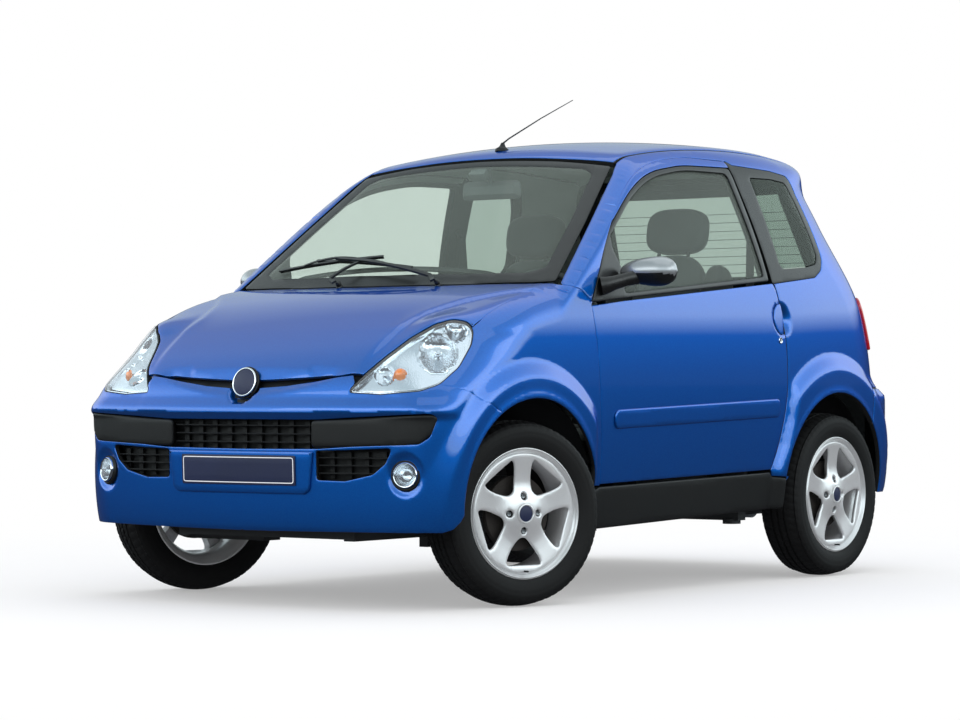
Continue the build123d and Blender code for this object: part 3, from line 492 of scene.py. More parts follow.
def revolve_mesh(profile, origin, axis, count=64, start=(0, 0, 1), closed_profile=False):
    """A profile (radius, distance along the axis) turned about the axis. Points on the axis make poles."""
    axis = np.asarray(axis, float) / np.linalg.norm(axis)
    first = np.asarray(start, float) - axis * np.dot(start, axis)
    first /= np.linalg.norm(first)
    second = np.cross(axis, first)
    a = np.arange(count) / count * 2 * np.pi
    ring = np.cos(a)[:, None] * first + np.sin(a)[:, None] * second
    profile = np.asarray(profile, float)
    verts = np.asarray(origin, float) + profile[None, :, :1] * ring[:, None] + profile[None, :, 1:2] * axis
    return verts.reshape(-1, 3), list(map(tuple, ring_faces(count, len(profile), True, closed_profile)))


def joined(parts):
    """Several (points, faces) as one."""
    verts, faces, count = [], [], 0
    for v, f in parts:
        verts.append(np.asarray(v))
        faces += [tuple(int(k) + count for k in face) for face in f]
        count += len(v)
    return np.concatenate(verts), faces


def pair(name, mesh, mats, bodies, slot=None, nodes=None, **kind):
    """The piece on the left and its mirror image on the right. `bodies` names the body of each, and
    `nodes` the patterns of the nodes that it stands for."""
    verts, faces, which = mesh if len(mesh) == 3 else (*mesh, None)
    made = []
    for side, body in zip(("left", "right"), bodies):
        v, f = (verts, faces) if side == "left" else mirrored_faces(verts, faces)
        piece = build(f"{name}_{side}", v, f, mats, body, slot, which, **kind)
        if nodes:
            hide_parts(*[n.format(side=side) for n in nodes])
        made.append(piece)
    return made


def panel(name, view, loops, mats, body, slot=None, **shape):
    """One panel in the middle of the car, with its own material on face, wall and back if three are
    given."""
    verts, faces, kinds = panel_mesh(view, loops, **shape)
    return build(name, verts, faces, mats, body, slot, kinds if len(mats) > 1 else None)


# ---- materials ----------------------------------------------------------------------------------
MIX_A, MIX_B, MIXED = 6, 7, 2    # the colour sockets of a mix node


def srgb(code):
    """A hex colour as linear RGBA."""
    c = np.array([int(code[i:i + 2], 16) for i in (0, 2, 4)]) / 255
    c = np.where(c <= 0.04045, c / 12.92, ((c + 0.055) / 1.055) ** 2.4)
    return (*c, 1.0)


def feed(tree, node, links):
    """Links into a node: each input's name or number with the (node, output) that feeds it."""
    for key, (source, output) in links.items():
        tree.links.new(source.outputs[output], node.inputs[key])


def add(tree, kind, links=None, values=None, **settings):
    """A node with its settings; links feeds its inputs, values sets inputs that have no name of their own."""
    node = tree.nodes.new(kind)
    for key, value in settings.items():
        if key in node.bl_rna.properties:
            setattr(node, key, value)
        else:
            node.inputs[key.replace("_", " ")].default_value = value
    for key, value in (values or {}).items():
        node.inputs[key].default_value = value
    feed(tree, node, links or {})
    return node


def material(name, **settings):
    """A material of that name with its surface shader set; returns it, its tree, its shader and the
    object coordinates."""
    mat = bpy.data.materials.new(name)
    mat.use_nodes = True
    tree = mat.node_tree
    shader = tree.nodes["Principled BSDF"]
    for key, value in settings.items():
        shader.inputs[key.replace("_", " ")].default_value = value
    return mat, tree, shader, add(tree, "ShaderNodeTexCoord")


def grained(name, colour, pale, rough, grain_mm, bump, tone=0.25, **settings):
    """A moulded or cast surface: fine grain in bump and roughness, and a faint wide change of tone."""
    mat, tree, shader, place = material(name, **settings)
    fine = add(tree, "ShaderNodeTexNoise", {"Vector": (place, "Object")}, Scale=1000 / grain_mm, Detail=3.0)
    wide = add(tree, "ShaderNodeTexNoise", {"Vector": (place, "Object")}, Scale=6.0, Detail=2.0)
    mix = add(tree, "ShaderNodeMix", {"Factor": (wide, "Fac")}, {MIX_A: srgb(colour), MIX_B: srgb(pale)},
              data_type="RGBA")
    spread = add(tree, "ShaderNodeMapRange", {"Value": (fine, "Fac")}, From_Min=0.3, From_Max=0.7,
                 To_Min=rough - tone * rough, To_Max=rough + tone * rough)
    relief = add(tree, "ShaderNodeBump", {"Height": (fine, "Fac")}, Strength=bump, Distance=grain_mm * MM)
    feed(tree, shader, {"Base Color": (mix, MIXED), "Roughness": (spread, "Result"),
                        "Normal": (relief, "Normal")})
    return mat


def car_paint(name, colour, shade):
    """Two-coat metallic lacquer: flakes that glint under a clear coat with a trace of orange peel."""
    mat, tree, shader, place = material(
        name, Metallic=0.85, Roughness=0.42, Coat_Weight=1.0, Coat_Roughness=0.03, Coat_IOR=1.6,
        Specular_Tint=srgb("3F9CFF"))
    flakes = add(tree, "ShaderNodeTexVoronoi", {"Vector": (place, "Object")}, Scale=420.0)
    glint = add(tree, "ShaderNodeMapRange", {"Value": (flakes, "Color")}, From_Min=0.0, From_Max=1.0,
                To_Min=0.0, To_Max=0.3)
    mix = add(tree, "ShaderNodeMix", {"Factor": (glint, "Result")}, {MIX_A: srgb(colour), MIX_B: srgb(shade)},
              data_type="RGBA")
    peel = add(tree, "ShaderNodeTexNoise", {"Vector": (place, "Object")}, Scale=220.0, Detail=1.0)
    relief = add(tree, "ShaderNodeBump", {"Height": (peel, "Fac")}, Strength=0.02, Distance=0.0006)
    feed(tree, shader, {"Base Color": (mix, MIXED), "Coat Normal": (relief, "Normal")})
    return mat


def tinted_glass(name, colour, through, veil_least=0.02):
    """Tinted sheet glass: mostly lets light through with its colour, and mirrors at grazing angles."""
    mat, tree, shader, place = material(name, Roughness=0.02, IOR=1.5, Base_Color=srgb(colour))
    clear = add(tree, "ShaderNodeBsdfTransparent", Color=srgb(through))
    rim = add(tree, "ShaderNodeFresnel", IOR=1.5)
    haze = add(tree, "ShaderNodeTexNoise", {"Vector": (place, "Object")}, Scale=9.0)
    veil = add(tree, "ShaderNodeMapRange", {"Value": (haze, "Fac")}, To_Min=veil_least,
               To_Max=veil_least + 0.03)
    both = add(tree, "ShaderNodeMath", {0: (rim, "Fac"), 1: (veil, "Result")}, operation="ADD")
    side = add(tree, "ShaderNodeNewGeometry")
    front = add(tree, "ShaderNodeMath", {1: (side, "Backfacing")}, {0: 1.0}, operation="SUBTRACT")
    once = add(tree, "ShaderNodeMath", {0: (both, 0), 1: (front, 0)}, operation="MULTIPLY")
    mixer = add(tree, "ShaderNodeMixShader", {"Fac": (once, 0), 1: (clear, 0), 2: (shader, 0)})
    feed(tree, tree.nodes["Material Output"], {"Surface": (mixer, 0)})
    return mat


# lacquered ABS body panels: deep metallic blue with paler flakes
paint = car_paint("blue_metallic_lacquer", "0354AE", "1678CA")
# unpainted ABS, moulded with a fine grain: near black, dull sheen
black_abs = grained("black_grained_abs", "08090A", "0F1011", 0.5, 1.6, 0.15, Specular_IOR_Level=0.35)
# smoother black moulding round the glass, with a soft gloss
black_trim = grained("black_smooth_abs", "0C0D0E", "131415", 0.32, 2.5, 0.06)
# dark grey interior moulding, dull
grey_trim = grained("grey_moulded_polypropylene", "5C6264", "6A7072", 0.6, 1.8, 0.25)
dark_trim = grained("dark_moulded_polypropylene", "2B2E30", "383B3D", 0.55, 1.8, 0.3)
# rubber seals and wiper blades: black, matt; the same black is laid on the body skins' edge walls as painted
# shade in the shut gaps, where the real edges are body colour
rubber_and_gap_shade = grained("black_rubber_and_gap_shade", "0E0F10", "161718", 0.7, 1.2, 0.15)
# black ceramic frit fired on the glass: flat black under a glassy surface
frit = grained("black_ceramic_frit", "0C0D0E", "111314", 0.3, 1.0, 0.02, Specular_IOR_Level=0.35)
# sheet glass with a faint green tint, mirror-like at grazing angles
glass = tinted_glass("green_tinted_glass", "A9B8B0", "F3F8F5", 0.08)
# the darker tint of the rear and quarter windows
rear_tint = tinted_glass("dark_green_tinted_glass", "8FA097", "D3DCD7", 0.05)
# pale grey-green headliner and pillar covers, needled felt
headliner = grained("pale_needled_felt", "9AA3A0", "A9B1AE", 0.9, 1.4, 0.35)
# clear polycarbonate lens
lens_clear = tinted_glass("clear_polycarbonate_lens", "F4F8FA", "F6F8FA")
# vacuum-plated reflector: bright, faintly hammered
reflector = grained("vacuum_plated_reflector", "E4E8EC", "F4F6F8", 0.12, 5.0, 0.12, Metallic=1.0)
# polished and lacquered cast alloy
alloy_face = grained("lacquered_cast_alloy", "D2D4D6", "E2E3E4", 0.36, 0.9, 0.03, Metallic=0.6,
                     Coat_Weight=0.5)
# chrome plate on brass: a hard bright mirror
chrome = grained("plated_brass_chrome", "DADDE0", "F0F2F4", 0.09, 1.2, 0.01, Metallic=1.0)
# tyre tread and wall rubber: dark grey black, matt
rubber = grained("vulcanised_tyre_rubber", "0B0B0C", "131314", 0.66, 1.1, 0.14, Specular_IOR_Level=0.25)
# amber bulb cover
amber = grained("amber_moulded_acrylic", "E07A1E", "F2902E", 0.2, 1.2, 0.02, Coat_Weight=0.8)
# red tail lens
red_lens = grained("red_moulded_acrylic", "A50F14", "C21A1E", 0.16, 1.5, 0.02, Coat_Weight=1.0)
# paint on plates and badges: flat navy, and white for their edges
plate_blue = grained("navy_painted_plate", "0C1738", "101D45", 0.5, 1.2, 0.03)
plate_white = grained("white_painted_edge", "E6E9EE", "F2F4F6", 0.4, 1.2, 0.03)
# silver lacquer on moulded ABS: soft metallic gloss
silver_paint = grained("silver_painted_abs", "8E9296", "A3A7AA", 0.32, 0.5, 0.03, Metallic=0.7,
                       Coat_Weight=0.7)
# steel under a black coat: dull, slightly rough
steel = grained("black_coated_steel", "26282A", "303234", 0.5, 1.5, 0.12, Metallic=0.4)
# machined steel: grey, with a satin sheen
bare_steel = grained("machined_bare_steel", "8A8D90", "9A9DA0", 0.38, 0.8, 0.06, Metallic=1.0)
# cast iron under brake dust: brown black, rough
dark_iron = grained("cast_iron_and_dust", "2A2624", "3A3532", 0.68, 2.0, 0.3, Metallic=0.5)


# ---- body skins ---------------------------------------------------------------------------------
def line(view, rows, pitch=9.0):
    """An open line over the form, through flat rows of a view, as points in space."""
    return view.lift(spaced(rows, pitch, closed=False))


def loop_of(view, *parts):
    """A closed loop in a view, through lines in space end to end, without doubled points."""
    flat = view.flat(np.concatenate(parts))
    keep = np.hypot(*(flat - np.roll(flat, 1, 0)).T) > 1.2
    flat = flat[keep]
    return spaced(flat, 12.0)


def arc(centre, radius, start, end, count=44):
    """Points on an arc between two angles in degrees."""
    a = np.radians(np.linspace(start, end, count))
    return np.stack([centre[0] + radius * np.cos(a), centre[1] + radius * np.sin(a)], -1)


def at(view, *points):
    """Flat rows for points in space."""
    return [tuple(view.flat(np.array(p, float))) for p in points]


LAMP = Plane(np.array([540, -1220, 740]) + 300 * np.array([0.549, -0.798, 0.249]), (0.8213, 0.5705, 0),
             (0, 0, 1))
HOOD = Plane((0, -1100, 1500), (1, 0, 0), (0, 0.87, 0.5))
# columns: x, y, z of the left lamp's edge, from its inner tip and anticlockwise seen from the front
lamp_rows = [
    (399, -1346, 639), (508, -1334, 633), (630, -1300, 643), (667, -1255, 662), (680, -1177, 713),
    (673, -1106, 781), (655, -1073, 824), (628, -1068, 850), (586, -1088, 858), (552, -1130, 843),
    (512, -1198, 803), (470, -1262, 748), (434, -1311, 698), (399, -1339, 655),
]
lamp_flat = outline([(*row, 60 if 1 < i < 12 else 14) for i, row in enumerate(at(LAMP, *lamp_rows))], 8)
lamp_edge = LAMP.lift(lamp_flat)


def nearest(points, place):
    """The number of the point nearest to a place."""
    return int(np.argmin(np.linalg.norm(points - np.asarray(place, float), axis=1)))


def run_between(loop, start, end):
    """The points of a closed loop from the one nearest a place to the one nearest another."""
    i, j = nearest(loop, start), nearest(loop, end)
    return np.concatenate([loop[i:], loop[:j + 1]]) if j < i else loop[i:j + 1]


slit_end, slit_low_end = (425, -1313, 692), (403, -1333, 668)
lamp_rear, lamp_split = (640, -1058, 828), (667, -1255, 662)
door_rows = [
    (-512, 352, 0), (475, 371, 12), (517, 456, 900), (563, 607, 900), (562, 810, 900), (530, 975, 300),
    (508, 1010, 300), (437, 1400, 22), (204, 1403, 900), (4, 1379, 900), (-183, 1312, 900), (-398, 1129, 900),
    (-541, 925, 10), (-553, 903, 10), (-538, 776, 60), (-528, 616, 60), (-516, 480, 0),
]
door_loop = outline(door_rows, 10)
skin_loop = outline([
    (-512, 352, 4), (475, 371, 12), (517, 456, 900), (563, 607, 900), (562, 810, 900), (530, 975, 60),
    (514, 994, 6), (-363, 923, 0), (-543, 906, 4), (-553, 903, 6), (-538, 776, 60), (-528, 616, 60),
    (-516, 480, 0)], 10)
frame_loop = outline([
    (-547, 912, 3), (-363, 928, 0), (497, 999, 8), (437, 1378, 14), (158, 1374, 900), (-48, 1343, 900),
    (-202, 1277, 900), (-402, 1130, 400)], 10)
glass_loop = outline([
    (-361, 944, 12), (470, 1014, 14), (410, 1358, 30), (150, 1358, 900), (-50, 1325, 900),
    (-200, 1258, 900), (-382, 1124, 12), (-385, 1082, 200), (-350, 1016, 200)], 10)
rail_loop = outline([
    (-400, 1134, 4), (-183, 1314, 900), (4, 1381, 900), (204, 1404, 900), (439, 1400, 10),
    (439, 1380, 3), (158, 1376, 900), (-48, 1345, 900), (-202, 1279, 900)], 10)
quarter_loop = outline([
    (440, 1404, 6), (472, 1388, 10), (700, 1379, 200), (800, 1366, 30), (836, 1285, 900), (866, 1165, 900),
    (874, 1088, 60), (852, 1046, 40), (800, 1020, 40), (551, 996, 8), (518, 992, 6)], 10)
quarter_glass = outline([
    (545, 1351, 14), (681, 1352, 60), (768, 1344, 22), (800, 1285, 900), (832, 1165, 900), (845, 1092, 40),
    (826, 1064, 24), (753, 1052, 100), (600, 1042, 20), (583, 1062, 16)], 10)

# the door's own edge and the quarter window's, cut into the runs that the side frame shares with them
door_top = run_between(door_loop, (437, 1400), (-545, 914))[::-1]
door_back = run_between(door_loop, (475, 371), (518, 992))[::-1]
quarter_edge = run_between(quarter_loop, (440, 1404), (518, 992))

# lines in space that neighbouring panels share, left side
bonnet_side = np.concatenate([
    [lamp_edge[nearest(lamp_edge, lamp_rear)]],
    line(TOP, [(648, -1020), (645, -900), (641, -780), (634, -652)])])
bonnet_rear = line(TOP, [(634, -652), (560, -684), (300, -742), (0, -760)])
slit_top = line(FRONT, [(0, 676), (80, 677), (220, 683), (340, 691), (395, 696), (424, 694)])
slit_low = line(FRONT, [(408, 672), (396, 690), (340, 684), (275, 674), (160, 659), (60, 653), (0, 652)])
pillar_foot = line(BELT, at(BELT, (634, -652, 968), (650, -640, 962), (676, -596, 948), (700, -552, 915)))
front_door = line(BELT, [(-548, 913), (-553, 903), (-538, 776), (-528, 616), (-516, 480), (-512, 352)])


def arch_line(centre_y, start, end, count):
    """A run of a wheel arch's edge, between two angles in degrees."""
    return line(BELT, at(BELT, *[(720, y, z) for y, z in arc((centre_y, ARCH_Z), ARCH_R, start, end, count)]))


front_arch = arch_line(FRONT_ARCH_Y, 10, 120, 44)
front_arch_low = arch_line(FRONT_ARCH_Y, 120, 182, 24)
bumper_split = line(BELT, at(BELT, tuple(front_arch[-1]), (708, -1188, 650), tuple(
    lamp_edge[nearest(lamp_edge, lamp_split)])))
bumper_foot = line(BELT, at(BELT, tuple(front_arch_low[-1]), (716, -1218, 268), (700, -1236, 246),
                            (680, -1262, 237)) + [(NOSE_U, 231)])
rear_arch = arch_line(REAR_ARCH_Y, 172, 42, 44)
rear_arch_low = arch_line(REAR_ARCH_Y, 42, -4, 20)
gate_side = line(REAR, [(-505, 655), (-508, 800), (-514, 990), (-494, 1200), (-470, 1330), (-452, 1384)])
gate_foot = line(REAR, [(-505, 655), (0, 655)])
gate_top = line(REAR, [(-452, 1384), (-430, 1398), (0, 1402)])
roof_side = line(TOP, [(462, 1014), (486, 950), (502, 800), (502, 0), (500, -132)])
roof_front = line(TOP, [(500, -132), (300, -143), (0, -148)])
rear_split = line(BELT, at(BELT, tuple(rear_arch[-1]), (716, 1116, 640)) + at(BELT, (505, 1340, 640)))
screen_side = SCREEN.lift(spaced([(640, 83), (575, 395), (508, 700)], 9, closed=False))


def other(points):
    """The same line on the car's right, run the other way."""
    return (points * [-1, 1, 1])[::-1]


inner = GAP / 2


# doors
def handle_dip(uv):
    """The skin sinks by 22 mm in a round cup under the handle, over the shut line."""
    r = np.hypot((uv[..., 0] - 543) / 56, (uv[..., 1] - 873) / 57)
    return 22 * step((1 - r) / 0.45)


# the door skins' and rails' edge walls take the black rubber: painted shade in the shut gaps, where the real
# edges are body colour
pair("door_skin", panel_mesh(BELT, [inset(skin_loop, inner)], thick=30, spacing=9, relief=handle_dip,
                             inside=4), [paint, rubber_and_gap_shade, dark_trim], DOORS, slot="door_paint",
     nodes=["door_panel_{side}"])
pair("door_rail", panel_mesh(BELT, [inset(rail_loop, 0.6)], thick=22, spacing=12, edge=2),
     [paint, rubber_and_gap_shade, headliner], DOORS, slot="door_paint")
pair("door_window_frame", panel_mesh(BELT, [inset(frame_loop, 0.6), glass_loop], thick=26, spacing=12,
                                     edge=3, proud=-0.5), [black_trim, black_trim, dark_trim], DOORS,
     slot="black_plastic")
pair("door_glass", panel_mesh(BELT, [inset(glass_loop, -4)], thick=4, spacing=24, edge=0.6, proud=-7),
     [glass], DOORS, slot="glass", nodes=["door_glass_{side}"])

# side frames: pillar, rail over the door and rear wing in one
side_line = loop_of(
    BELT, line(BELT, [(482, 350), (545, 346)]), rear_arch, rear_split, gate_side, roof_side,
    screen_side[::-1], pillar_foot[1:],
    BELT.lift(door_top), BELT.lift(quarter_edge), BELT.lift(door_back))
# its edge walls take the black rubber: painted shade in the shut gaps, where the real edges are body colour
pair("body_side", panel_mesh(BELT, [inset(side_line, inner)], thick=20, spacing=10, relief=handle_dip,
                             inside=3), [paint, rubber_and_gap_shade, headliner], BOTH, slot="body_paint",
     nodes=["body_side_{side}"])
pair("quarter_border", panel_mesh(BELT, [inset(quarter_loop, 1.5), quarter_glass], thick=12, spacing=14,
                                  edge=1, proud=-1.0), [frit, frit, dark_trim], BOTH, slot="black_plastic")
quarter = pair("quarter_glass", panel_mesh(BELT, [inset(quarter_glass, -3)], thick=4, spacing=20, edge=0.5,
                                           proud=-2.0), [rear_tint], BOTH, slot="glass")
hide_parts("quarter_windows")

# wings
wing_line = loop_of(BELT, front_door, front_arch, bumper_split[1:],
                    run_between(lamp_edge, lamp_split, lamp_rear), bonnet_side, pillar_foot)
# its edge walls take the black rubber: painted shade in the shut gaps, where the real edges are body colour
wings = pair("front_wing", panel_mesh(BELT, [inset(wing_line, inner)], thick=14, spacing=9, inside=3),
             [paint, rubber_and_gap_shade, black_abs], BOTH, slot="body_paint")
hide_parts("front_wings")

# bonnet
half = [slit_top[:-1], run_between(lamp_edge, lamp_rear, slit_end)[::-1], bonnet_side[1:], bonnet_rear[1:]]
bonnet_line = loop_of(HOOD, *half, other(np.concatenate(half)))
bonnet = panel("bonnet_skin", HOOD, [inset(bonnet_line, inner)], [paint], "bonnet", "body_paint", thick=14,
               spacing=13)
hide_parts("bonnet_panel")

# roof and tailgate
half = [roof_front[::-1], roof_side[::-1], line(TOP, [(470, 1082), (430, 1086), (0, 1088)])]
roof_line_flat = loop_of(TOP, *half, other(np.concatenate(half)))
# its edge walls take the black rubber: painted shade in the shut gaps, where the real edges are body colour
roof = panel("roof_skin", TOP, [inset(roof_line_flat, inner)], [paint, rubber_and_gap_shade, headliner], "chassis",
             "body_paint", thick=22, spacing=26)
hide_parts("roof_panel")
half = [gate_foot[::-1], gate_side, gate_top]
gate_line = loop_of(REAR, *half, other(np.concatenate(half)))
gate_glass = outline([(-444, 1010, 40), (444, 1010, 40), (392, 1362, 40), (-392, 1362, 40)], 14)
# its edge walls take the black rubber: painted shade in the shut gaps, where the real edges are body colour
gate = panel("tailgate_skin", REAR, [inset(gate_line, inner), gate_glass], [paint, rubber_and_gap_shade, dark_trim],
             "tailgate", "body_paint", thick=26, spacing=20)
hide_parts("tailgate_panel")


# bumpers
def mirrored_loop(half, middle):
    """A closed loop in the wrapped sheet from its one half and that half mirrored about a middle."""
    half = half[np.hypot(*(half - np.roll(half, 1, 0)).T) > 1.2]
    return spaced(np.concatenate([half, np.stack([2 * middle - half[::-1, 0], half[::-1, 1]], -1)]), 12)


half = [slit_low[::-1], run_between(lamp_edge, slit_low_end, lamp_split), bumper_split[::-1],
        front_arch_low[1:], bumper_foot[1:]]
front_flat = mirrored_loop(BELT.flat(np.concatenate(half)), NOSE_U)


def across_front(rows, pitch=8.0):
    """A loop on the front from its left half, rows (x, z, corner radius), mirrored about the middle."""
    both = [(-x, z, r) for x, z, r in rows[::-1] if x > 0] + list(rows)
    return BELT.flat(FRONT.lift(outline(both, pitch)))


upper_hole = across_front([(0, 474, 0), (300, 476, 12), (420, 484, 40), (640, 492, 20), (668, 512, 20),
                           (688, 580, 16), (300, 562, 30), (0, 562, 0)])
fog_at = np.array([596.0, -1331.0, 402.0])
fog_flat = BELT.flat(fog_at)
side_rows = [(292, 384, 10), (394, 382, 20), (488, 402, 30), (531, 434, 20), (556, 480, 12), (420, 474, 20),
             (292, 470, 8)]
side_hole_left = BELT.flat(FRONT.lift(outline(side_rows, 9)))
fog_hole_left = circle(fog_flat[0], fog_flat[1], 42, 44)
right_holes = [(hole * [-1, 1] + [2 * NOSE_U, 0])[::-1] for hole in (side_hole_left, fog_hole_left)]
nose_holes = [upper_hole, side_hole_left, fog_hole_left, *right_holes]


def nose_dips(uv):
    """The bumper's skin dips by 9 mm round each fog lamp and by 20 mm under the badge."""
    u = NOSE_U + np.abs(uv[..., 0] - NOSE_U)
    fog = 9 * step((66 - np.hypot(u - fog_flat[0], uv[..., 1] - fog_flat[1])) / 16)
    badge = 20 * step((62 - np.hypot(uv[..., 0] - NOSE_U, uv[..., 1] - BADGE_Z)) / 14)
    return fog + badge


# its edge walls take the black rubber: painted shade in the shut gaps, where the real edges are body colour
nose = panel("front_bumper_skin", BELT, [inset(front_flat, inner)] + nose_holes,
             [paint, rubber_and_gap_shade, black_abs], "chassis", "body_paint", thick=18, spacing=8,
             relief=nose_dips, inside=4)
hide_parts("front_bumper")

rear_foot = line(BELT, at(BELT, tuple(rear_arch_low[-1])) + [(TAIL_U, 262)])
rear_edge = BELT.flat(np.concatenate([rear_split[::-1], rear_arch_low, rear_foot[1:]]))
rear_flat = mirrored_loop(np.concatenate([[(TAIL_U, 640.0)], rear_edge]), TAIL_U)
# its edge walls take the black rubber: painted shade in the shut gaps, where the real edges are body colour
tail = panel("rear_bumper_skin", BELT, [inset(rear_flat, inner)], [paint, rubber_and_gap_shade, black_abs],
             "chassis", "body_paint", thick=18, spacing=16)
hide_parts("rear_bumper")

# ---- windscreen ---------------------------------------------------------------------------------
screen_half = [(0, 4), (300, 20), (560, 66), (634, 86), (575, 395), (506, 702), (300, 714), (0, 718)]
screen_rows = [(*r, 12) for r in screen_half] + [(-u, v, 12) for u, v in screen_half[-2:0:-1]]
screen_loop = outline(screen_rows, 12)
view_half = [(0, 66), (300, 78), (520, 112), (566, 150), (520, 395), (462, 650), (420, 676), (0, 684)]
view_rows = [(*r, 30) for r in view_half] + [(-u, v, 30) for u, v in view_half[-2:0:-1]]
view_loop = outline(view_rows, 12)
panel("windscreen_border", SCREEN, [inset(screen_loop, 2), view_loop], [frit], "chassis", "glass", thick=5,
      spacing=16, edge=0.8, proud=-1)
pane = panel("windscreen_pane", SCREEN, [inset(view_loop, -3)], [glass], "chassis", "glass", thick=4,
             spacing=30, edge=0.6, proud=-1.6)
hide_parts("windscreen")


# ---- wheels -------------------------------------------------------------------------------------
TREAD_BLOCKS = 64
STEPS_A_BLOCK = 5
SPOKES = 5
ORIGIN = (0, 0, 0)
WINDOW_RADII = (74, 90, 112, 135, 152, 165)
BOLT_SPOTS = [(52 * np.cos(a), 52 * np.sin(a)) for a in np.pi / 4 * np.array([2, 4, 6, 8])]


def tyre_mesh():
    """The tyre turned about X, in its own place. Its section's radius drops by 6 mm in three grooves
    round the tread; the shoulders drop by 3 mm in slots that slant round, one a block, and by 1.2 mm where
    these run out over the edge; the centre ribs have fine cuts of 2.5 mm. The wall carries three raised
    rings, each a narrow bell over the radius."""
    wall = [(-58, 184), (-67, 193), (-74, 210), (-77.5, 232), (-76.5, 248), (-72.5, 260), (-66, 268)]
    grooves = [-24, 0, 24]
    crown = sorted({-60, -52, -46, -40, -34, *[g + d for g in grooves for d in (-4.5, -3.2, 3.2, 4.5)],
                    -12, 12, 34, 40, 46, 52, 60})
    crown_rows = [(a, TYRE_R - 0.0014 * a * a - 0.00000055 * abs(a) ** 4) for a in crown]
    ribs = []
    for (a0, r0), (a1, r1) in zip(wall[:-1], wall[1:]):
        for t in np.linspace(0, 1, 5)[:-1]:
            ribs.append((a0 + t * (a1 - a0), r0 + t * (r1 - r0)))
    ribs.append(wall[-1])
    raised = np.array([[a - 0.9 * np.exp(-((r - 203) / 1.6) ** 2) - 0.8 * np.exp(-((r - 243) / 2.0) ** 2)
                        - 0.5 * np.exp(-((r - 222) / 9.0) ** 4), r] for a, r in ribs])
    section = np.concatenate([raised, crown_rows, raised[::-1] * [-1, 1], [(40, 181), (-40, 181)]])
    count = TREAD_BLOCKS * STEPS_A_BLOCK
    turn_at = np.arange(count) / count * 2 * np.pi
    a, r = section[:, 0], section[:, 1]
    groove = np.zeros(len(a))
    for g in grooves:
        groove = np.maximum(groove, 6.0 * (np.abs(a - g) < 3.3))
    phase = (turn_at[:, None] / (2 * np.pi) * TREAD_BLOCKS + np.sign(a) * 0.25 + a / 90.0) % 1.0
    shoulder = (np.abs(a) > 29) & (np.abs(a) < 75) & (r > 255)
    slot = (phase < 0.21) & shoulder
    sipe = ((phase + 0.5) % 1.0 < 0.19) & (np.abs(a) < 21) & (groove == 0) & (r > 255)
    radius = r - groove - 3.0 * slot * (np.abs(a) < 57) - 1.2 * slot * (np.abs(a) >= 57) - 2.5 * sipe
    inward = 0.6 * slot * (np.abs(a) > 60) * np.sign(a)
    verts = np.stack([np.broadcast_to(a, radius.shape) - inward, radius * np.sin(turn_at[:, None]),
                      radius * np.cos(turn_at[:, None])], -1)
    return verts.reshape(-1, 3), list(map(tuple, ring_faces(count, len(a), True)[:, ::-1]))


def spoke_half(r):
    """Half the width of a spoke at a radius: waisted in the middle and flared at the lip."""
    return np.interp(r, [66, 82, 105, 130, 152, 166], [36, 32, 29, 29.5, 33, 41])


def rim_face():
    """The cast face: a dished disc whose height falls from the hub to the middle of the spokes and rises
    to the lip, with five windows and the bolts' holes cut through it, every edge rounded."""
    def height(uv):
        """High at the hub and the lip, with a shallow dish between."""
        r = np.hypot(uv[..., 0], uv[..., 1])
        dish = 3 * step((r - 60) / 40) * step((140 - r) / 50)
        return 58 + 10 * step((78 - r) / 50) + 5 * step((r - 120) / 60) - dish
    view = Relief(ORIGIN, (0, 1, 0), (0, 0, 1), height)
    windows = []
    for k in range(SPOKES):
        middle = np.pi / 2 + np.pi / SPOKES + k * 2 * np.pi / SPOKES
        rows = []
        for way, radii in ((-1, WINDOW_RADII), (1, WINDOW_RADII[::-1])):
            for r in radii:
                turn = middle + way * (np.pi / SPOKES - np.arcsin(spoke_half(r) / r))
                rows.append((r * np.cos(turn), r * np.sin(turn), 22))
        windows.append(outline(rows, 7))
    bolts = [circle(y, z, 10.5, 20) for y, z in BOLT_SPOTS]
    return panel_mesh(view, [circle(0, 0, 181, 110)] + windows + bolts, thick=20, spacing=8, edge=5,
                      draft=0.22, inside=2)


def rim_barrel():
    """The barrel and lips as one closed section turned about X: a double ring at the outer lip."""
    section = [(176, 52), (180, 58), (184, 62), (187.5, 66), (189, 70.5), (191.5, 72.5), (193.5, 70.5),
               (194.5, 68.5), (197, 68), (199, 66), (199, 62), (196, 58), (190, 54), (184, 48), (172, 40),
               (166, 20), (166, -30), (178, -52), (186, -60), (196, -64), (197, -68), (192, -70),
               (182, -62), (172, -54), (160, -30), (160, 20), (166, 42)]
    return revolve_mesh(section, ORIGIN, (1, 0, 0), 96, closed_profile=True)


def hex_bolt(y, z):
    """A bolt sunk in the face: a six-sided head with a chamfer and a dished top."""
    head = [(0, 57), (4.5, 57.4), (5.2, 58.6), (7.0, 59.0), (8.0, 58.0), (8.0, 44), (0, 44)]
    return revolve_mesh(head, (0, y, z), (1, 0, 0), 6)


def hub_cap():
    """The blank cap's raised ring, round the shallow dome that is a piece of its own."""
    rows = [(24, 71), (24.5, 73.6), (26.5, 75.2), (29, 74.2), (30.5, 70), (30.5, 58), (24, 58)]
    return revolve_mesh(rows, ORIGIN, (1, 0, 0), 56, closed_profile=True)


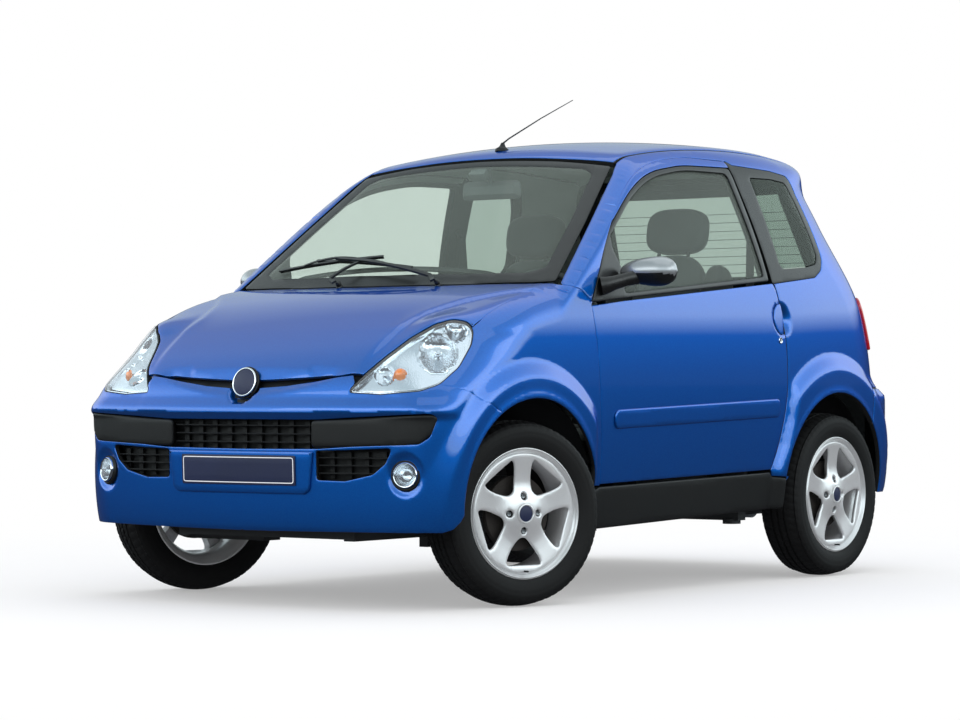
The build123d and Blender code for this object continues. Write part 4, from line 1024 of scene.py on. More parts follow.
def place_wheel(mesh, side, front):
    """The wheel's own points carried to its axle, and turned with the parked steering if in front."""
    verts, faces = mesh[:2]
    if side < 0:
        verts, faces = mirrored_faces(verts, faces)
    verts = verts + [side * (WHEEL_X - KING_X if front else WHEEL_X), 0, 0]
    if front:
        a = -np.radians(PARKED_STEER)
        turned = np.array([[np.cos(a), -np.sin(a), 0], [np.sin(a), np.cos(a), 0], [0, 0, 1]])
        verts = verts @ turned.T + [side * KING_X, 0, 0]
    return verts + [0, FRONT_AXLE_Y if front else REAR_AXLE_Y, TYRE_R], faces


wheel_parts = {
    "tyre": (tyre_mesh(), rubber, dict(slot="tyre", sharp=30, merge=0)),
    "rim_face": (rim_face(), alloy_face, dict(slot="alloy", sharp=45)),
    "rim_barrel": (rim_barrel(), alloy_face, dict(slot="alloy", merge=0)),
    "hub_cap": (hub_cap(), alloy_face, dict(slot="alloy", merge=0.01)),
    "hub_cap_face": (revolve_mesh([(0, 74), (9, 73.7), (17, 72.7), (24.4, 71), (24.4, 60), (0, 60)], ORIGIN,
                                  (1, 0, 0), 48), plate_blue, dict(merge=0.01)),
    "wheel_bolts": (joined([hex_bolt(y, z) for y, z in BOLT_SPOTS]), bare_steel,
                    dict(slot="steel", sharp=25, merge=0.01)),
    "valve": (revolve_mesh([(0, 82), (2.2, 82), (2.8, 80), (2.8, 62), (4.2, 60), (4.2, 40), (0, 40)],
                           (0, 0, -172), (1, 0, 0), 14), rubber_and_gap_shade, dict(merge=0.01)),
    "brake_disc": (joined([
        revolve_mesh([(60, 24), (112, 24), (113, 23), (113, 6), (60, 6)], ORIGIN, (1, 0, 0), 64,
                     closed_profile=True),
        revolve_mesh([(0, 40), (48, 40), (52, 36), (58, 26), (62, 14), (62, -6), (0, -6)], ORIGIN,
                     (1, 0, 0), 48)]), dark_iron, dict(slot="iron", merge=0.01)),
}
for name, side, front, body in (("front_left", 1, True, "wheel_fl"), ("front_right", -1, True, "wheel_fr"),
                                ("rear_left", 1, False, "wheel_rl"), ("rear_right", -1, False, "wheel_rr")):
    kind, hand = name.split("_")
    made = {part: build(f"{part}_{name}", *place_wheel(mesh, side, front), [mat], body, **finish)
            for part, (mesh, mat, finish) in wheel_parts.items()}
    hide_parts(f"{kind}_tyre_{hand}")
    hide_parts(f"{kind}_rim_{hand}")


# ---- headlamps ----------------------------------------------------------------------------------
class Sunk(Plane):
    """A drawing plane's surface let down along the plane's own normal by a depth at each flat point."""

    def __init__(self, view, fall):
        self.view, self.fall = view, fall
        self.o, self.u, self.v, self.out = view.o, view.u, view.v, view.out

    def lift(self, uv, depth=0.0):
        """The surface's points, sunk by the depth too."""
        uv = np.asarray(uv, float)
        return self.view.lift(uv) - (self.fall(uv) + np.asarray(depth))[..., None] * self.out


def collar(view, loop, wide, narrow, top, bottom):
    """A closed band that follows a loop: between two insets and two depths."""
    n = len(loop)
    rings = [view.lift(inset(loop, w), d) for w, d in
             ((wide, top), (wide, bottom), (narrow, bottom), (narrow, top))]
    i = np.arange(n)
    faces = []
    for k in range(4):
        a, b = k * n, ((k + 1) % 4) * n
        faces += list(zip(a + i, b + i, b + (i + 1) % n, a + (i + 1) % n))
    return np.concatenate(rings), faces


lamp_spots = at(LAMP, (609, -1191, 754), (606, -1100, 818), (503, -1308, 690), (551, -1294, 691))
# columns: which spot, radius of the bowl, its depth
bowls = [(0, 54, 44), (1, 27, 24), (2, 24, 20)]


def lamp_fall(uv):
    """Depth of the reflector: a gently waved floor with a dished bowl for each bulb, each bowl a
    paraboloid with radial flutes and a raised rim."""
    depth = 20 + 1.2 * np.cos(uv[..., 1] * 0.09) + 0.8 * np.cos(uv[..., 0] * 0.045)
    for spot, radius, fall in bowls:
        du, dv = uv[..., 0] - lamp_spots[spot][0], uv[..., 1] - lamp_spots[spot][1]
        r, a = np.hypot(du, dv), np.arctan2(dv, du)
        bowl = 14 + fall * (1 - (r / radius) ** 2) + 0.9 * np.sin(a * 26) * (r / radius)
        depth = np.where(r < radius, bowl, np.where(r < radius + 4, 14, depth))
    return depth


lens_loop = inset(lamp_flat, 4.5)
pair("headlamp_lens", panel_mesh(LAMP, [lens_loop], thick=3, spacing=16, edge=1.2, proud=1.0), [lens_clear],
     BOTH, slot="lamp")
lamp_backs = pair("headlamp_reflector", panel_mesh(Sunk(LAMP, lamp_fall), [inset(lamp_flat, 7)], thick=6,
                                                   spacing=4.5, edge=1, inside=5), [reflector], BOTH,
                  slot="lamp", sharp=55)
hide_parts("headlamps")
pair("headlamp_gasket", collar(LAMP, lamp_flat, 1.5, 4.5, 1.0, 40.0), [rubber_and_gap_shade], BOTH)
pair("headlamp_wall", collar(LAMP, lamp_flat, 5.0, 8.0, 5.0, 34.0), [reflector], BOTH)


def bulb(spot, radius, length, base):
    """A glass-capped bulb standing in its bowl, pointing out of the lamp."""
    foot = LAMP.lift(np.array([lamp_spots[spot]]))[0] - LAMP.out * base
    rows = [(0, length), (radius * 0.6, length * 0.95), (radius, length * 0.72), (radius, length * 0.35),
            (radius * 1.35, length * 0.3), (radius * 1.35, 0), (0, 0)]
    return revolve_mesh(rows, foot, LAMP.out, 24)


pair("headlamp_bulbs", joined([bulb(0, 8, 40, 56), bulb(1, 5, 20, 36), bulb(2, 5, 18, 32)]), [chrome], BOTH,
     slot="lamp", merge=0.01)
pair("indicator_bulb", bulb(3, 15, 16, 22), [amber], BOTH, slot="lamp", merge=0.01)


# ---- nose: grilles, inserts, plate, badge ring and fog lamps ------------------------------------
def ribbon(view, rows, deep, high, sink, pitch=14.0):
    """A bar along an open line: `high` across the surface and `deep` into it, its front at a depth."""
    path = view.lift(spaced(rows, pitch, closed=False))
    out = form_normal(path)
    corner = 1.2
    h, d = high / 2, deep
    section = np.array([(-sink - corner, -h), (-sink, -h + corner), (-sink, h - corner), (-sink - corner, h),
                        (-sink - d, h), (-sink - d, -h)])
    rings = path[:, None] + section[:, :1] * out[:, None] + section[:, 1:] * np.array([0, 0, 1.0])
    n, m = len(path), len(section)
    return rings.reshape(-1, 3), capped(ring_faces(n, m), n, m)


def upright_rib(x, low, high, back, half):
    """A rib between the bars, a little behind them."""
    path = FRONT.lift(np.array([[x, low], [x, high]], float)) + [0, back, 0]
    return sweep_mesh(path, [(-half, -3), (half, -3), (half, 3), (-half, 3)], upright=(0, 1, 0))


bars = [ribbon(FRONT, [(-268, z), (268, z)], 14, 4, 9) for z in (494, 519, 544)]
bars += [upright_rib(x, 474, 562, 32, 9) for x in range(-240, 241, 60)]
side_bars = [ribbon(FRONT, [(x0, z), (x1, z)], 12, 4, 9) for z, x0, x1 in
             ((404, 296, 486), (427, 296, 530), (450, 296, 552))]
side_bars += [upright_rib(x, 390, 468, 30, 8) for x in range(330, 520, 60)]
left_bars = joined(side_bars)
right_bars = mirrored_faces(*left_bars)
grille = build("grille_slats", *joined(bars + [left_bars, right_bars]), [black_abs], "chassis",
               slot="black_plastic", sharp=25, merge=0)
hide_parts("grilles")

mouth = across_front([(0, 468, 0), (690, 470, 20), (694, 586, 20), (0, 572, 0)], 14)
panel("grille_backing", BELT, [mouth], [black_abs], "chassis", "black_plastic", thick=4, spacing=26, edge=1,
      proud=-40)
insert_rows = outline([(276, 480, 14), (420, 482, 30), (600, 488, 30), (642, 492, 24), (672, 520, 24),
                       (688, 574, 10), (300, 560, 8), (276, 558, 10)], 9)
insert_loop = BELT.flat(FRONT.lift(insert_rows))
inserts = pair("bumper_insert", panel_mesh(BELT, [insert_loop], thick=20, spacing=12, edge=6, proud=2.5),
               [black_abs], BOTH, slot="black_plastic")
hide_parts("bumper_inserts")

side_backing = BELT.flat(FRONT.lift(inset(outline(side_rows, 10), -10)))
pair("side_grille_backing", panel_mesh(BELT, [side_backing], thick=4, spacing=26, edge=1, proud=-38)[:2],
     [black_abs], BOTH, slot="black_plastic")

surround_rows = outline([(-284, 468, 3), (-270, 356, 16), (-252, 342, 14), (252, 342, 14), (270, 356, 16),
                         (284, 468, 3)], 9)
panel("plate_surround", FRONT, [surround_rows], [paint], "chassis", "body_paint", thick=14, spacing=16,
      edge=5, proud=8)
panel("number_plate_blank", FRONT,
      [outline([(-224, 367, 5), (224, 367, 5), (224, 456, 5), (-224, 456, 5)], 14)], [plate_blue],
      "chassis", thick=3, spacing=30, edge=0.8, proud=11.5)
ring = outline([(-218, 373, 8), (218, 373, 8), (218, 450, 8), (-218, 450, 8)], 10)
panel("number_plate_outline", FRONT, [ring, inset(ring, 2.6)], [plate_white], "chassis", thick=1, spacing=8,
      edge=0.2, proud=12.1)

badge_view = Relief((0, -1353, 673), (1, 0, 0), (0, 0.24, 0.971),
                    lambda uv: 6 - 6 * ((uv[..., 0] / 44) ** 2 + (uv[..., 1] / 44) ** 2))
badge_ring = [circle(0, 0, 46, 72, 45 / 46), circle(0, 0, 41, 72, 40 / 41)]
panel("nose_oval_ring", badge_view, badge_ring, [chrome], "chassis", thick=5, spacing=3, edge=1.8, proud=2)
panel("nose_oval_face", badge_view, [circle(0, 0, 42, 60, 41 / 42)], [plate_blue], "chassis", thick=6,
      spacing=9, edge=0.5)
panel("nose_oval_well", badge_view, [circle(0, 0, 53, 60, 52 / 53)], [black_abs], "chassis", thick=24,
      spacing=12, edge=2, proud=-6)
slit_rows = across_front([(0, 640, 0), (60, 641, 40), (275, 662, 60), (385, 676, 30), (408, 664, 10),
                          (430, 702, 8), (378, 704, 20), (220, 694, 60), (80, 689, 60), (0, 688, 0)], 10)
panel("nose_slit_backing", BELT, [slit_rows], [black_abs], "chassis", "black_plastic", thick=5, spacing=20,
      edge=1, proud=-19)

fog_out = np.array([0.32, -0.94, 0.06])
fog_out /= np.linalg.norm(fog_out)
fog_parts = {
    "fog_lamp_ring": (
        [(31, -12), (31.5, -3), (33, 0), (35, 0.5), (37, -1), (38, -4), (38, -20), (31, -20)], chrome),
    "fog_lamp_well": ([(38.5, -22), (38.5, -8), (43, -8), (47, -12), (47, -50), (38.5, -50)], black_abs),
    "fog_lamp_lens": (
        [(0, 1), (12, 0.4), (22, -1.2), (28, -3.8), (31.2, -7), (31.2, -9.5), (27, -6.5), (20, -4),
         (12, -2.4), (0, -1.8)], lens_clear),
    "fog_lamp_bowl": (
        [(0, -40), (10, -39), (19, -34), (26, -25), (30, -14), (31.2, -10), (33, -10), (33, -46), (0, -46)],
        reflector),
}
for name, (rows, mat) in fog_parts.items():
    closed = name.endswith(("ring", "well"))
    mesh = revolve_mesh(rows, fog_at, fog_out, 56, closed_profile=closed)
    for piece in pair(name, mesh, [mat], BOTH, slot="lamp", merge=0.01):
        if name.endswith("ring") and piece.name.endswith("left"):
            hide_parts("fog_lamps")

ring_at = np.linspace(0, 2 * np.pi, 21)[:-1]


def round_sections(radii, squeeze=1.0):
    """A round outline for each radius, for a sweep."""
    return np.stack([np.stack([r * np.cos(ring_at) * squeeze, r * np.sin(ring_at)], -1) for r in radii])


# ---- sides: sills, moulding, handles, mirrors ---------------------------------------------------
sill_rows = [(-556, 214, 10), (534, 243, 10), (538, 300, 6), (540, 342, 6), (484, 350, 6), (472, 364, 6),
             (-510, 345, 4), (-548, 330, 6)]
sills = pair("sill_cover", panel_mesh(BELT, [outline(sill_rows, 12)], thick=22, spacing=14, edge=5, proud=1),
             [black_abs], BOTH, slot="black_plastic")
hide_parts("sills")
moulding_rows = [(-450, 523, 24), (508, 547, 22), (506, 608, 22), (-450, 582, 24)]
pair("door_moulding", panel_mesh(BELT, [outline(moulding_rows, 8)], thick=8, spacing=10, edge=4.5, proud=7),
     [paint], DOORS, slot="door_paint")
flap_rows = [(491, 873, 60), (500, 842, 30), (522, 822, 20), (542, 820, 6), (551, 873, 200), (542, 924, 6),
             (522, 922, 20), (500, 904, 30)]
pair("door_handle", panel_mesh(BELT, [outline(flap_rows, 5)], thick=6, spacing=7, edge=2.5, proud=1.5),
     [paint], DOORS, slot="door_paint")
lock_spot = BELT.lift(np.array([[523.0, 802.0]]))[0]
lock_rows = [(0, 0.5), (5.5, 0.5), (6, 2.2), (9, 2.6), (10.5, 1.6), (10.5, -8), (0, -8)]
pair("door_lock", revolve_mesh(lock_rows, lock_spot, form_normal(lock_spot[None])[0], 30), [chrome], DOORS,
     slot="steel", merge=0.01)


MIRROR_AT = np.array([790.0, -358.0, 1010.0])


def mirror_shell():
    """The mirror's housing: a teardrop, fuller at its outer end, bulging forwards and nearly flat behind.
    Around its long axis the section is an ellipse; along it the size follows a rounded bow. Faces under a
    level a little below the middle take the second material."""
    along, count = np.linspace(-1, 1, 33), 44
    size = (1 - np.abs(along) ** 2.6) ** 0.5 * (0.80 + 0.20 * along)
    size[[0, -1]] = 0.02
    turn_at = np.arange(count) / count * 2 * np.pi
    depth = np.cos(turn_at)
    depth = np.where(depth > 0, depth * 0.30, depth)
    length = np.array([0.985, 0.174, 0.0])
    rearward = np.array([-0.174, 0.985, 0.0])
    spot = MIRROR_AT + along[:, None, None] * 97 * length
    spot = spot + (size[:, None] * depth)[..., None] * 60 * rearward
    spot = spot + (size[:, None] * np.sin(turn_at))[..., None] * 55 * np.array([0, 0, 1.0])
    quads = ring_faces(len(along), count)
    verts = spot.reshape(-1, 3)
    x, _, z = verts[quads].mean(1).T
    which = np.append(z <= 1004 - 0.04 * (x - 794), [True, True])
    return verts, capped(quads, len(along), count), which


pair("mirror_housing", mirror_shell(), [silver_paint, black_trim], DOORS, nodes=["door_mirror_{side}"],
     slot="black_plastic", merge=0)
glass_view = Relief(MIRROR_AT + [-3, 17, 0], (-0.985, -0.174, 0), (0, 0, 1), lambda uv: 2.0 + 0 * uv[..., 0])
# silvered glass: a clear mirror
mirror_glass = grained("silvered_mirror_glass", "C9CFD2", "D6DBDE", 0.04, 4.0, 0.004, Metallic=1.0)
pair("mirror_pane", panel_mesh(glass_view, [circle(0, 0, 80, 48, 0.5)], thick=3, spacing=16, edge=0.8),
     [mirror_glass], DOORS, slot="mirror")
neck = np.array([(704, -492, 964), (718, -481, 967), (732, -462, 974), (748, -425, 984), (768, -390, 992)],
                float)
pair("mirror_neck", sweep_mesh(neck, round_sections([30, 26, 22, 21, 22], 0.62)), [black_trim], DOORS,
     slot="black_plastic")

# ---- tail lamps, aerial, wipers and cowl --------------------------------------------------------
tail_rows = at(BELT, (668, 1160, 772), (505, 1330, 772), (509, 1275, 955), (640, 1118, 955))
tail_loop = outline([(tail_rows[0][0], 772, 26), (tail_rows[1][0] - 6, 772, 16),
                     (tail_rows[2][0] - 6, 955, 16), (tail_rows[3][0] + 24, 955, 40)], 8)
lamps = pair("tail_lamp_lens", panel_mesh(BELT, [tail_loop], thick=16, spacing=12, edge=6, proud=10),
             [red_lens], BOTH, slot="tail_lamp")
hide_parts("tail_lamps")

rod_at = np.array([(0, -50, 1462), (0, -20, 1478), (0, 160, 1556), (0, 346, 1630)], float)
aerial = build("aerial_rod", *sweep_mesh(rod_at, round_sections([3.0, 2.6, 2.0, 1.3])), [rubber_and_gap_shade],
               "chassis", slot="black_plastic")
foot_rows = [(0, 26), (4, 25.5), (6.5, 23), (8, 18), (11, 12), (17, 7), (23, 3), (24, 0), (24, -6), (0, -6)]
foot_spot = TOP.lift(np.array([[0.0, -58.0]]))[0]
build("aerial_foot", *revolve_mesh(foot_rows, foot_spot, (0, 0.15, 1), 36), [black_abs], "chassis",
      slot="black_plastic", merge=0.01)
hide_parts("aerial")


def screen_spots(rows, lift):
    """Points above the windscreen's glass, from flat rows."""
    return SCREEN.lift(np.array(rows, float)) + SCREEN_NORMAL * np.asarray(lift, float)[..., None]


wiper_parts = []
for pivot, elbow, tip_a, tip_b, hold in (((250, -6), (212, 34), (-60, 158), (-496, 137), (-250, 152)),
                                         ((-150, -2), (-186, 20), (100, 92), (-350, 168), (-120, 128))):
    blade = screen_spots(spaced([tip_a, tip_b], 30, closed=False), 9.0)
    wiper_parts.append(sweep_mesh(blade,
                                  [(-1.2, -6), (1.2, -6), (1.6, 0), (4.5, 1.5), (4.5, 5), (-4.5, 5),
                                   (-4.5, 1.5), (-1.6, 0)], upright=SCREEN_NORMAL))
    bow = spaced([np.array(tip_a) * 0.75 + np.array(tip_b) * 0.25, hold,
                  np.array(tip_b) * 0.75 + np.array(tip_a) * 0.25], 25, closed=False)
    t = np.linspace(-1, 1, len(bow))
    wiper_parts.append(sweep_mesh(screen_spots(bow, 14 + 10 * (1 - t * t)),
                                  [(-4, -2), (4, -2), (4, 2), (-4, 2)], upright=SCREEN_NORMAL))
    arm = spaced([pivot, elbow, hold], 25, closed=False)
    rise = 20 + 10 * np.sin(np.linspace(0, np.pi, len(arm)))
    width = np.linspace(9, 4.5, len(arm))
    section = np.stack([np.array([(-w, -3), (w, -3), (w * 0.7, 3.5), (-w * 0.7, 3.5)]) for w in width])
    wiper_parts.append(sweep_mesh(screen_spots(arm, rise), section, upright=SCREEN_NORMAL))
    boss = screen_spots([np.add(pivot, (0, 14))], [0])[0]
    wiper_parts.append(revolve_mesh([(0, 20), (6, 19.4), (8.5, 16), (8.5, 3), (11, 0), (11, -14), (0, -14)],
                                    boss, SCREEN_NORMAL, 20))
wipers = build("wiper_pair", *joined(wiper_parts), [black_trim], "chassis", slot="black_plastic",
               merge=0.01)
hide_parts("wipers")

screen_foot_line = SCREEN.lift(spaced([(634, 84), (560, 62), (300, 18), (0, 2)], 10, closed=False))
half = [bonnet_rear, screen_foot_line[::-1]]
cowl_line = loop_of(TOP, *half, other(np.concatenate(half)))
cowl = panel("cowl_cover", TOP, [inset(cowl_line, 1.0)], [black_abs], "chassis", "black_plastic", thick=6,
             spacing=12, edge=1.5, proud=-6, relief=lambda uv: 36 * step((np.abs(uv[..., 0]) - 360) / 190))
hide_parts("cowl_panel")
rear_pane = panel("rear_window_pane", REAR, [inset(gate_glass, -4)], [rear_tint], "tailgate", "glass",
                  thick=4, spacing=30, edge=0.5, proud=-6)
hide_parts("rear_window")
panel("rear_window_border", REAR, [inset(gate_glass, -1), inset(gate_glass, 34)], [frit], "tailgate",
      "glass", thick=3, spacing=14, edge=0.5, proud=-4.5)
heater = [sweep_mesh(REAR.lift(spaced([(-400, z), (400, z)], 60, closed=False), 12.0),
                     [(-0.6, -1), (0.6, -1), (0.6, 1), (-0.6, 1)]) for z in range(1060, 1281, 30)]
build("rear_heater_lines", *joined(heater), [dark_trim], "tailgate")
# rubber strips low in the shut gaps, under each line that two panels share on the left side: a seal along the
# door's edges, and elsewhere black strips that paint the shade deep in the gaps between bumpers, wings,
# bonnet, roof and side
seal_and_shade_strips = []
bonnet_side_free = bonnet_side[bonnet_side[:, 1] < bonnet_side[:, 1].max() - 90]
for seam in (BELT.lift(door_back), bumper_split, bonnet_side_free, rear_split, roof_side, front_door):
    out = form_normal(seam)
    seal_and_shade_strips.append(sweep_mesh(seam, [(-2.0, -8), (2.0, -8), (2.0, -2.2), (-2.0, -2.2)], upright=out))
pair("shut_gap_seal", joined(seal_and_shade_strips[:-1]), [rubber_and_gap_shade], BOTH, slot="black_plastic")
# the door's front edge turns inward behind the wing, so its strip swings with the door
pair("door_edge_seal", joined(seal_and_shade_strips[-1:]), [rubber_and_gap_shade], DOORS, slot="black_plastic")
# a rubber seal round the tailgate's opening, which closes the shut gap from within
seal_path = REAR.lift(spaced(inset(gate_line, -2), 22), 36.0)
build("tailgate_seal", *sweep_mesh(seal_path, [(-9, -7), (9, -7), (9, 7), (-9, 7)], closed=True,
                                   upright=(0, 1, 0)), [rubber_and_gap_shade], "chassis", slot="black_plastic")
# number plate left blank, its lamp bar with the handle over it, and a reflector at each end of the bumper
panel("rear_plate_blank", REAR, [outline([(-262, 700, 5), (262, 700, 5), (262, 810, 5), (-262, 810, 5)],
                                         14)], [plate_white], "tailgate", thick=3, spacing=30, edge=0.8,
      proud=6)
panel("rear_plate_frame", REAR, [outline([(-272, 690, 8), (272, 690, 8), (272, 820, 8), (-272, 820, 8)],
                                         12)], [black_abs], "tailgate", "black_plastic", thick=6,
      spacing=24, edge=2, proud=2.5)
panel("gate_handle_bar", REAR, [outline([(-190, 838, 12), (190, 838, 12), (180, 868, 12), (-180, 868, 12)],
                                        8)], [black_abs], "tailgate", "black_plastic", thick=12, spacing=12,
      edge=4, proud=12)
reflector_loop = BELT.flat(REAR.lift(outline([(-560, 452, 8), (-450, 448, 8), (-450, 480, 8),
                                              (-560, 484, 8)], 7)))
pair("rear_bumper_reflector", panel_mesh(BELT, [reflector_loop], thick=6, spacing=10, edge=1.5, proud=2.5),
     [red_lens], BOTH, slot="tail_lamp")


# ---- cabin --------------------------------------------------------------------------------------
def coarse_cloth(name, colour, pale, weave_mm):
    """Woven cloth: a fine check of two tones for the crossing threads, and loose fluff in bump."""
    mat, tree, shader, place = material(name, Roughness=0.92, Sheen_Weight=0.25)
    parts = add(tree, "ShaderNodeSeparateXYZ", {"Vector": (place, "Object")})
    along = add(tree, "ShaderNodeCombineXYZ", {"X": (parts, "X"), "Y": (parts, "Z")})
    threads = add(tree, "ShaderNodeTexChecker", {"Vector": (along, "Vector")}, Scale=1000 / weave_mm,
                  Color1=srgb(colour), Color2=srgb(pale))
    fluff = add(tree, "ShaderNodeTexNoise", {"Vector": (place, "Object")}, Scale=700.0, Detail=2.0)
    mix = add(tree, "ShaderNodeMix", {MIX_A: (threads, "Color"), MIX_B: (fluff, "Color")}, data_type="RGBA",
              blend_type="MULTIPLY", Factor=0.2)
    relief = add(tree, "ShaderNodeBump", {"Height": (fluff, "Fac")}, Strength=0.3, Distance=0.001)
    feed(tree, shader, {"Base Color": (mix, MIXED), "Normal": (relief, "Normal")})
    return mat


seat_cloth = coarse_cloth("dark_grey_woven_cloth", "3F4647", "474E4F", 1.6)
bolster_cloth = coarse_cloth("black_grey_woven_cloth", "282C2D", "2D3233", 1.6)


def cushion_mesh(centre, size, lean, seams=(), crown=0.16, power=3.2, count=(56, 30)):
    """A stuffed block: a rounded box (a superellipsoid) with crowned faces, pulled in by about 3 mm along
    each seam, and leaned back about X by an angle."""
    u = np.linspace(-np.pi, np.pi, count[0] + 1)[:-1]
    v = np.linspace(-np.pi / 2, np.pi / 2, count[1])

    def bow(c):
        """A cosine or sine swelled towards a square."""
        return np.sign(c) * np.abs(c) ** (2 / power)
    cu, su, cv, sv = bow(np.cos(u))[:, None], bow(np.sin(u))[:, None], bow(np.cos(v)), bow(np.sin(v))
    x, y, z = cu * cv, su * cv, np.broadcast_to(sv, (len(u), len(v)))
    pinch = np.ones_like(x)
    for seam in seams:
        pinch = pinch - 0.055 * np.exp(-((x - seam) / 0.035) ** 2)
    y = y * (1 + crown * (1 - x ** 2) * (1 - z ** 2)) * pinch
    place = np.stack([x * size[0], y * size[1], z * size[2]], -1) / 2
    a = np.radians(lean)
    place = place @ np.array([[1, 0, 0], [0, np.cos(a), np.sin(a)], [0, -np.sin(a), np.cos(a)]])
    quads = ring_faces(len(u), len(v), True, False)[:, [0, 3, 2, 1]]
    return place.reshape(-1, 3) + np.asarray(centre, float), list(map(tuple, quads))


seat_forms = {
    "base": [((0, 175, 447), (300, 108, 470), 84, (-0.62, 0.62)), ((-190, 175, 452), (110, 128, 480), 84, ()),
             ((190, 175, 452), (110, 128, 480), 84, ())],
    "back": [((0, 455, 782), (300, 104, 640), -13, (-0.6, 0.6)), ((-188, 446, 762), (100, 132, 600), -13, ()),
             ((188, 446, 762), (100, 132, 600), -13, ())],
    "headrest": [((0, 540, 1176), (236, 84, 156), -10, ())],
}
for hand, x in (("left", 300), ("right", -300)):
    for part, blocks in seat_forms.items():
        for k, (centre, size, lean, seams) in enumerate(blocks):
            verts, faces = cushion_mesh((centre[0] + x, *centre[1:]), size, lean, seams)
            pad = build(f"seat_{part}_{k}_{hand}", verts, faces, [bolster_cloth if k else seat_cloth],
                        "chassis", "fabric", merge=0.01)
    metal = [sweep_mesh(np.array([(x + s, 500, 1060), (x + s, 522, 1120), (x + s, 545, 1190)], float),
                        round_sections([6])[0], upright=(0, 1, 0)) for s in (-60, 60)]
    metal += [sweep_mesh(np.array([(x + s, -20, 300), (x + s, 400, 300)], float),
                         [(-16, -28), (16, -28), (16, 90), (-16, 90)]) for s in (-190, 190)]
    frame_part = build(f"seat_runner_{hand}", *joined(metal), [steel], "chassis", slot="steel")
    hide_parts(f"seat_{hand}")

# steering wheel: a grained rim, three spokes and a hub pad, square to the column
wheel_at, wheel_axis = np.array([300.0, -170, 872]), np.array([0, 130, 72.0]) / np.hypot(130, 72)
rim_ring = revolve_mesh(np.stack([170 + 13 * np.cos(ring_at), 11 * np.sin(ring_at)], -1), wheel_at,
                        wheel_axis, 90, closed_profile=True)
hub_pad = revolve_mesh([(0, 26), (30, 25), (52, 20), (62, 10), (64, -2), (58, -14), (0, -16)], wheel_at,
                       wheel_axis, 40)
spoke_parts = []
wheel_up = np.cross(wheel_axis, [1, 0, 0])
for angle in (90, 205, 335):
    way = np.cos(np.radians(angle)) * np.array([1, 0, 0]) + np.sin(np.radians(angle)) * wheel_up
    spots = wheel_at + way * np.linspace(50, 166, 8)[:, None]
    wide = np.interp(np.linspace(0, 1, 8), [0, 0.5, 1], [24, 16, 20])
    spoke_parts.append(sweep_mesh(spots,
                                  np.stack([np.array([(-w, -7), (w, -7), (w * 0.8, 6),
                                                      (-w * 0.8, 6)]) for w in wide]), upright=wheel_axis))
steering = build("steering_wheel_trim", *joined([rim_ring, hub_pad] + spoke_parts), [dark_trim], "steering",
                 slot="dash_plastic", merge=0.01)
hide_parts("steering_wheel")

# belts: webbing that hangs down the pillar from its guide, both sides
webbing = coarse_cloth("black_polyester_webbing", "15171A", "1E2125", 1.6)
belt_path = spaced([(612, 512, 1190), (606, 516, 1080), (600, 520, 900), (598, 520, 600)], 40, closed=False)
pair("belt_webbing", sweep_mesh(belt_path, [(-24, -0.9), (24, -0.9), (24, 0.9), (-24, 0.9)],
                                upright=(1, 0, 0)), [webbing], BOTH, slot="fabric")
pair("belt_guide", revolve_mesh([(0, 8), (14, 8), (18, 4), (18, -10), (0, -10)], (616, 512, 1196),
                                (-1, 0, 0.2), 24), [dark_trim], BOTH, merge=0.01)

# inside mirror: a rounded shell and its block on the glass
mirror_face = Relief((0, -112, 1300), (-1, 0, 0), (0, 0, 1), lambda uv: 1.5 - 0.00005 * uv[..., 0] ** 2)
inside_rows = outline([(-122, -30, 20), (122, -30, 20), (118, 32, 24), (-118, 32, 24)], 6)
inside = panel("inside_mirror_shell", mirror_face, [inside_rows], [grey_trim], "chassis", "dash_plastic",
               thick=22, spacing=12, edge=6, draft=0.5)
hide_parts("interior_mirror")
panel("inside_mirror_pane", mirror_face, [inset(inside_rows, 8)], [mirror_glass], "chassis", "mirror",
      thick=2, spacing=20, edge=0.5, proud=1)
stem = np.array([(0, -122, 1318), (0, -128, 1350), (0, -138, 1384)], float)
block = panel_mesh(SCREEN, [outline([(-34, 652, 8), (34, 652, 8), (30, 690, 8), (-30, 690, 8)], 6)],
                   thick=30, spacing=12, edge=2, proud=-8)
build("inside_mirror_mount", *joined([sweep_mesh(stem, round_sections([9])[0], upright=(0, 1, 0)),
                                      block[:2]]), [grey_trim], "chassis")

# ---- finishes on the frame's own parts that stay in view ----------------------------------------
kept = {
    "chassis_frame": steel, "cabin_tub": dark_trim, "arch_liners": black_abs, "front_suspension": steel,
    "rear_axle": steel, "knuckle_left": dark_iron, "knuckle_right": dark_iron, "engine_block": dark_iron,
    "fuel_tank": black_trim, "exhaust": bare_steel, "dashboard": dark_trim, "door_hinges": steel,
    "lid_hinges": steel,
}
for name, mat in kept.items():
    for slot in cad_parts[name].material_slots:
        slot.material = mat


# ---- camera, light and floor --------------------------------------------------------------------
CAMERA_AT = (6.346, -8.539, 0.696)
FOCAL_MM = 119.6
camera_data = bpy.data.cameras.new("camera")
camera = bpy.data.objects.new("camera", camera_data)
bpy.context.scene.collection.objects.link(camera)
yaw, pitch, roll = 0.6496, 0.0042, -0.0037
forward = Vector((-np.sin(yaw) * np.cos(pitch), np.cos(yaw) * np.cos(pitch), np.sin(pitch)))
right = forward.cross(Vector((0, 0, 1))).normalized()
upward = right.cross(forward)
across = right * np.cos(roll) + upward * np.sin(roll)
upward = -right * np.sin(roll) + upward * np.cos(roll)
turn = Matrix((across, upward, -forward)).transposed().to_4x4()
camera.matrix_world = Matrix.Translation(CAMERA_AT) @ turn
camera_data.sensor_width = 36.0
camera_data.lens = FOCAL_MM
camera_data.clip_end = 100.0
bpy.context.scene.camera = camera
bpy.context.scene.view_settings.view_transform = "Standard"


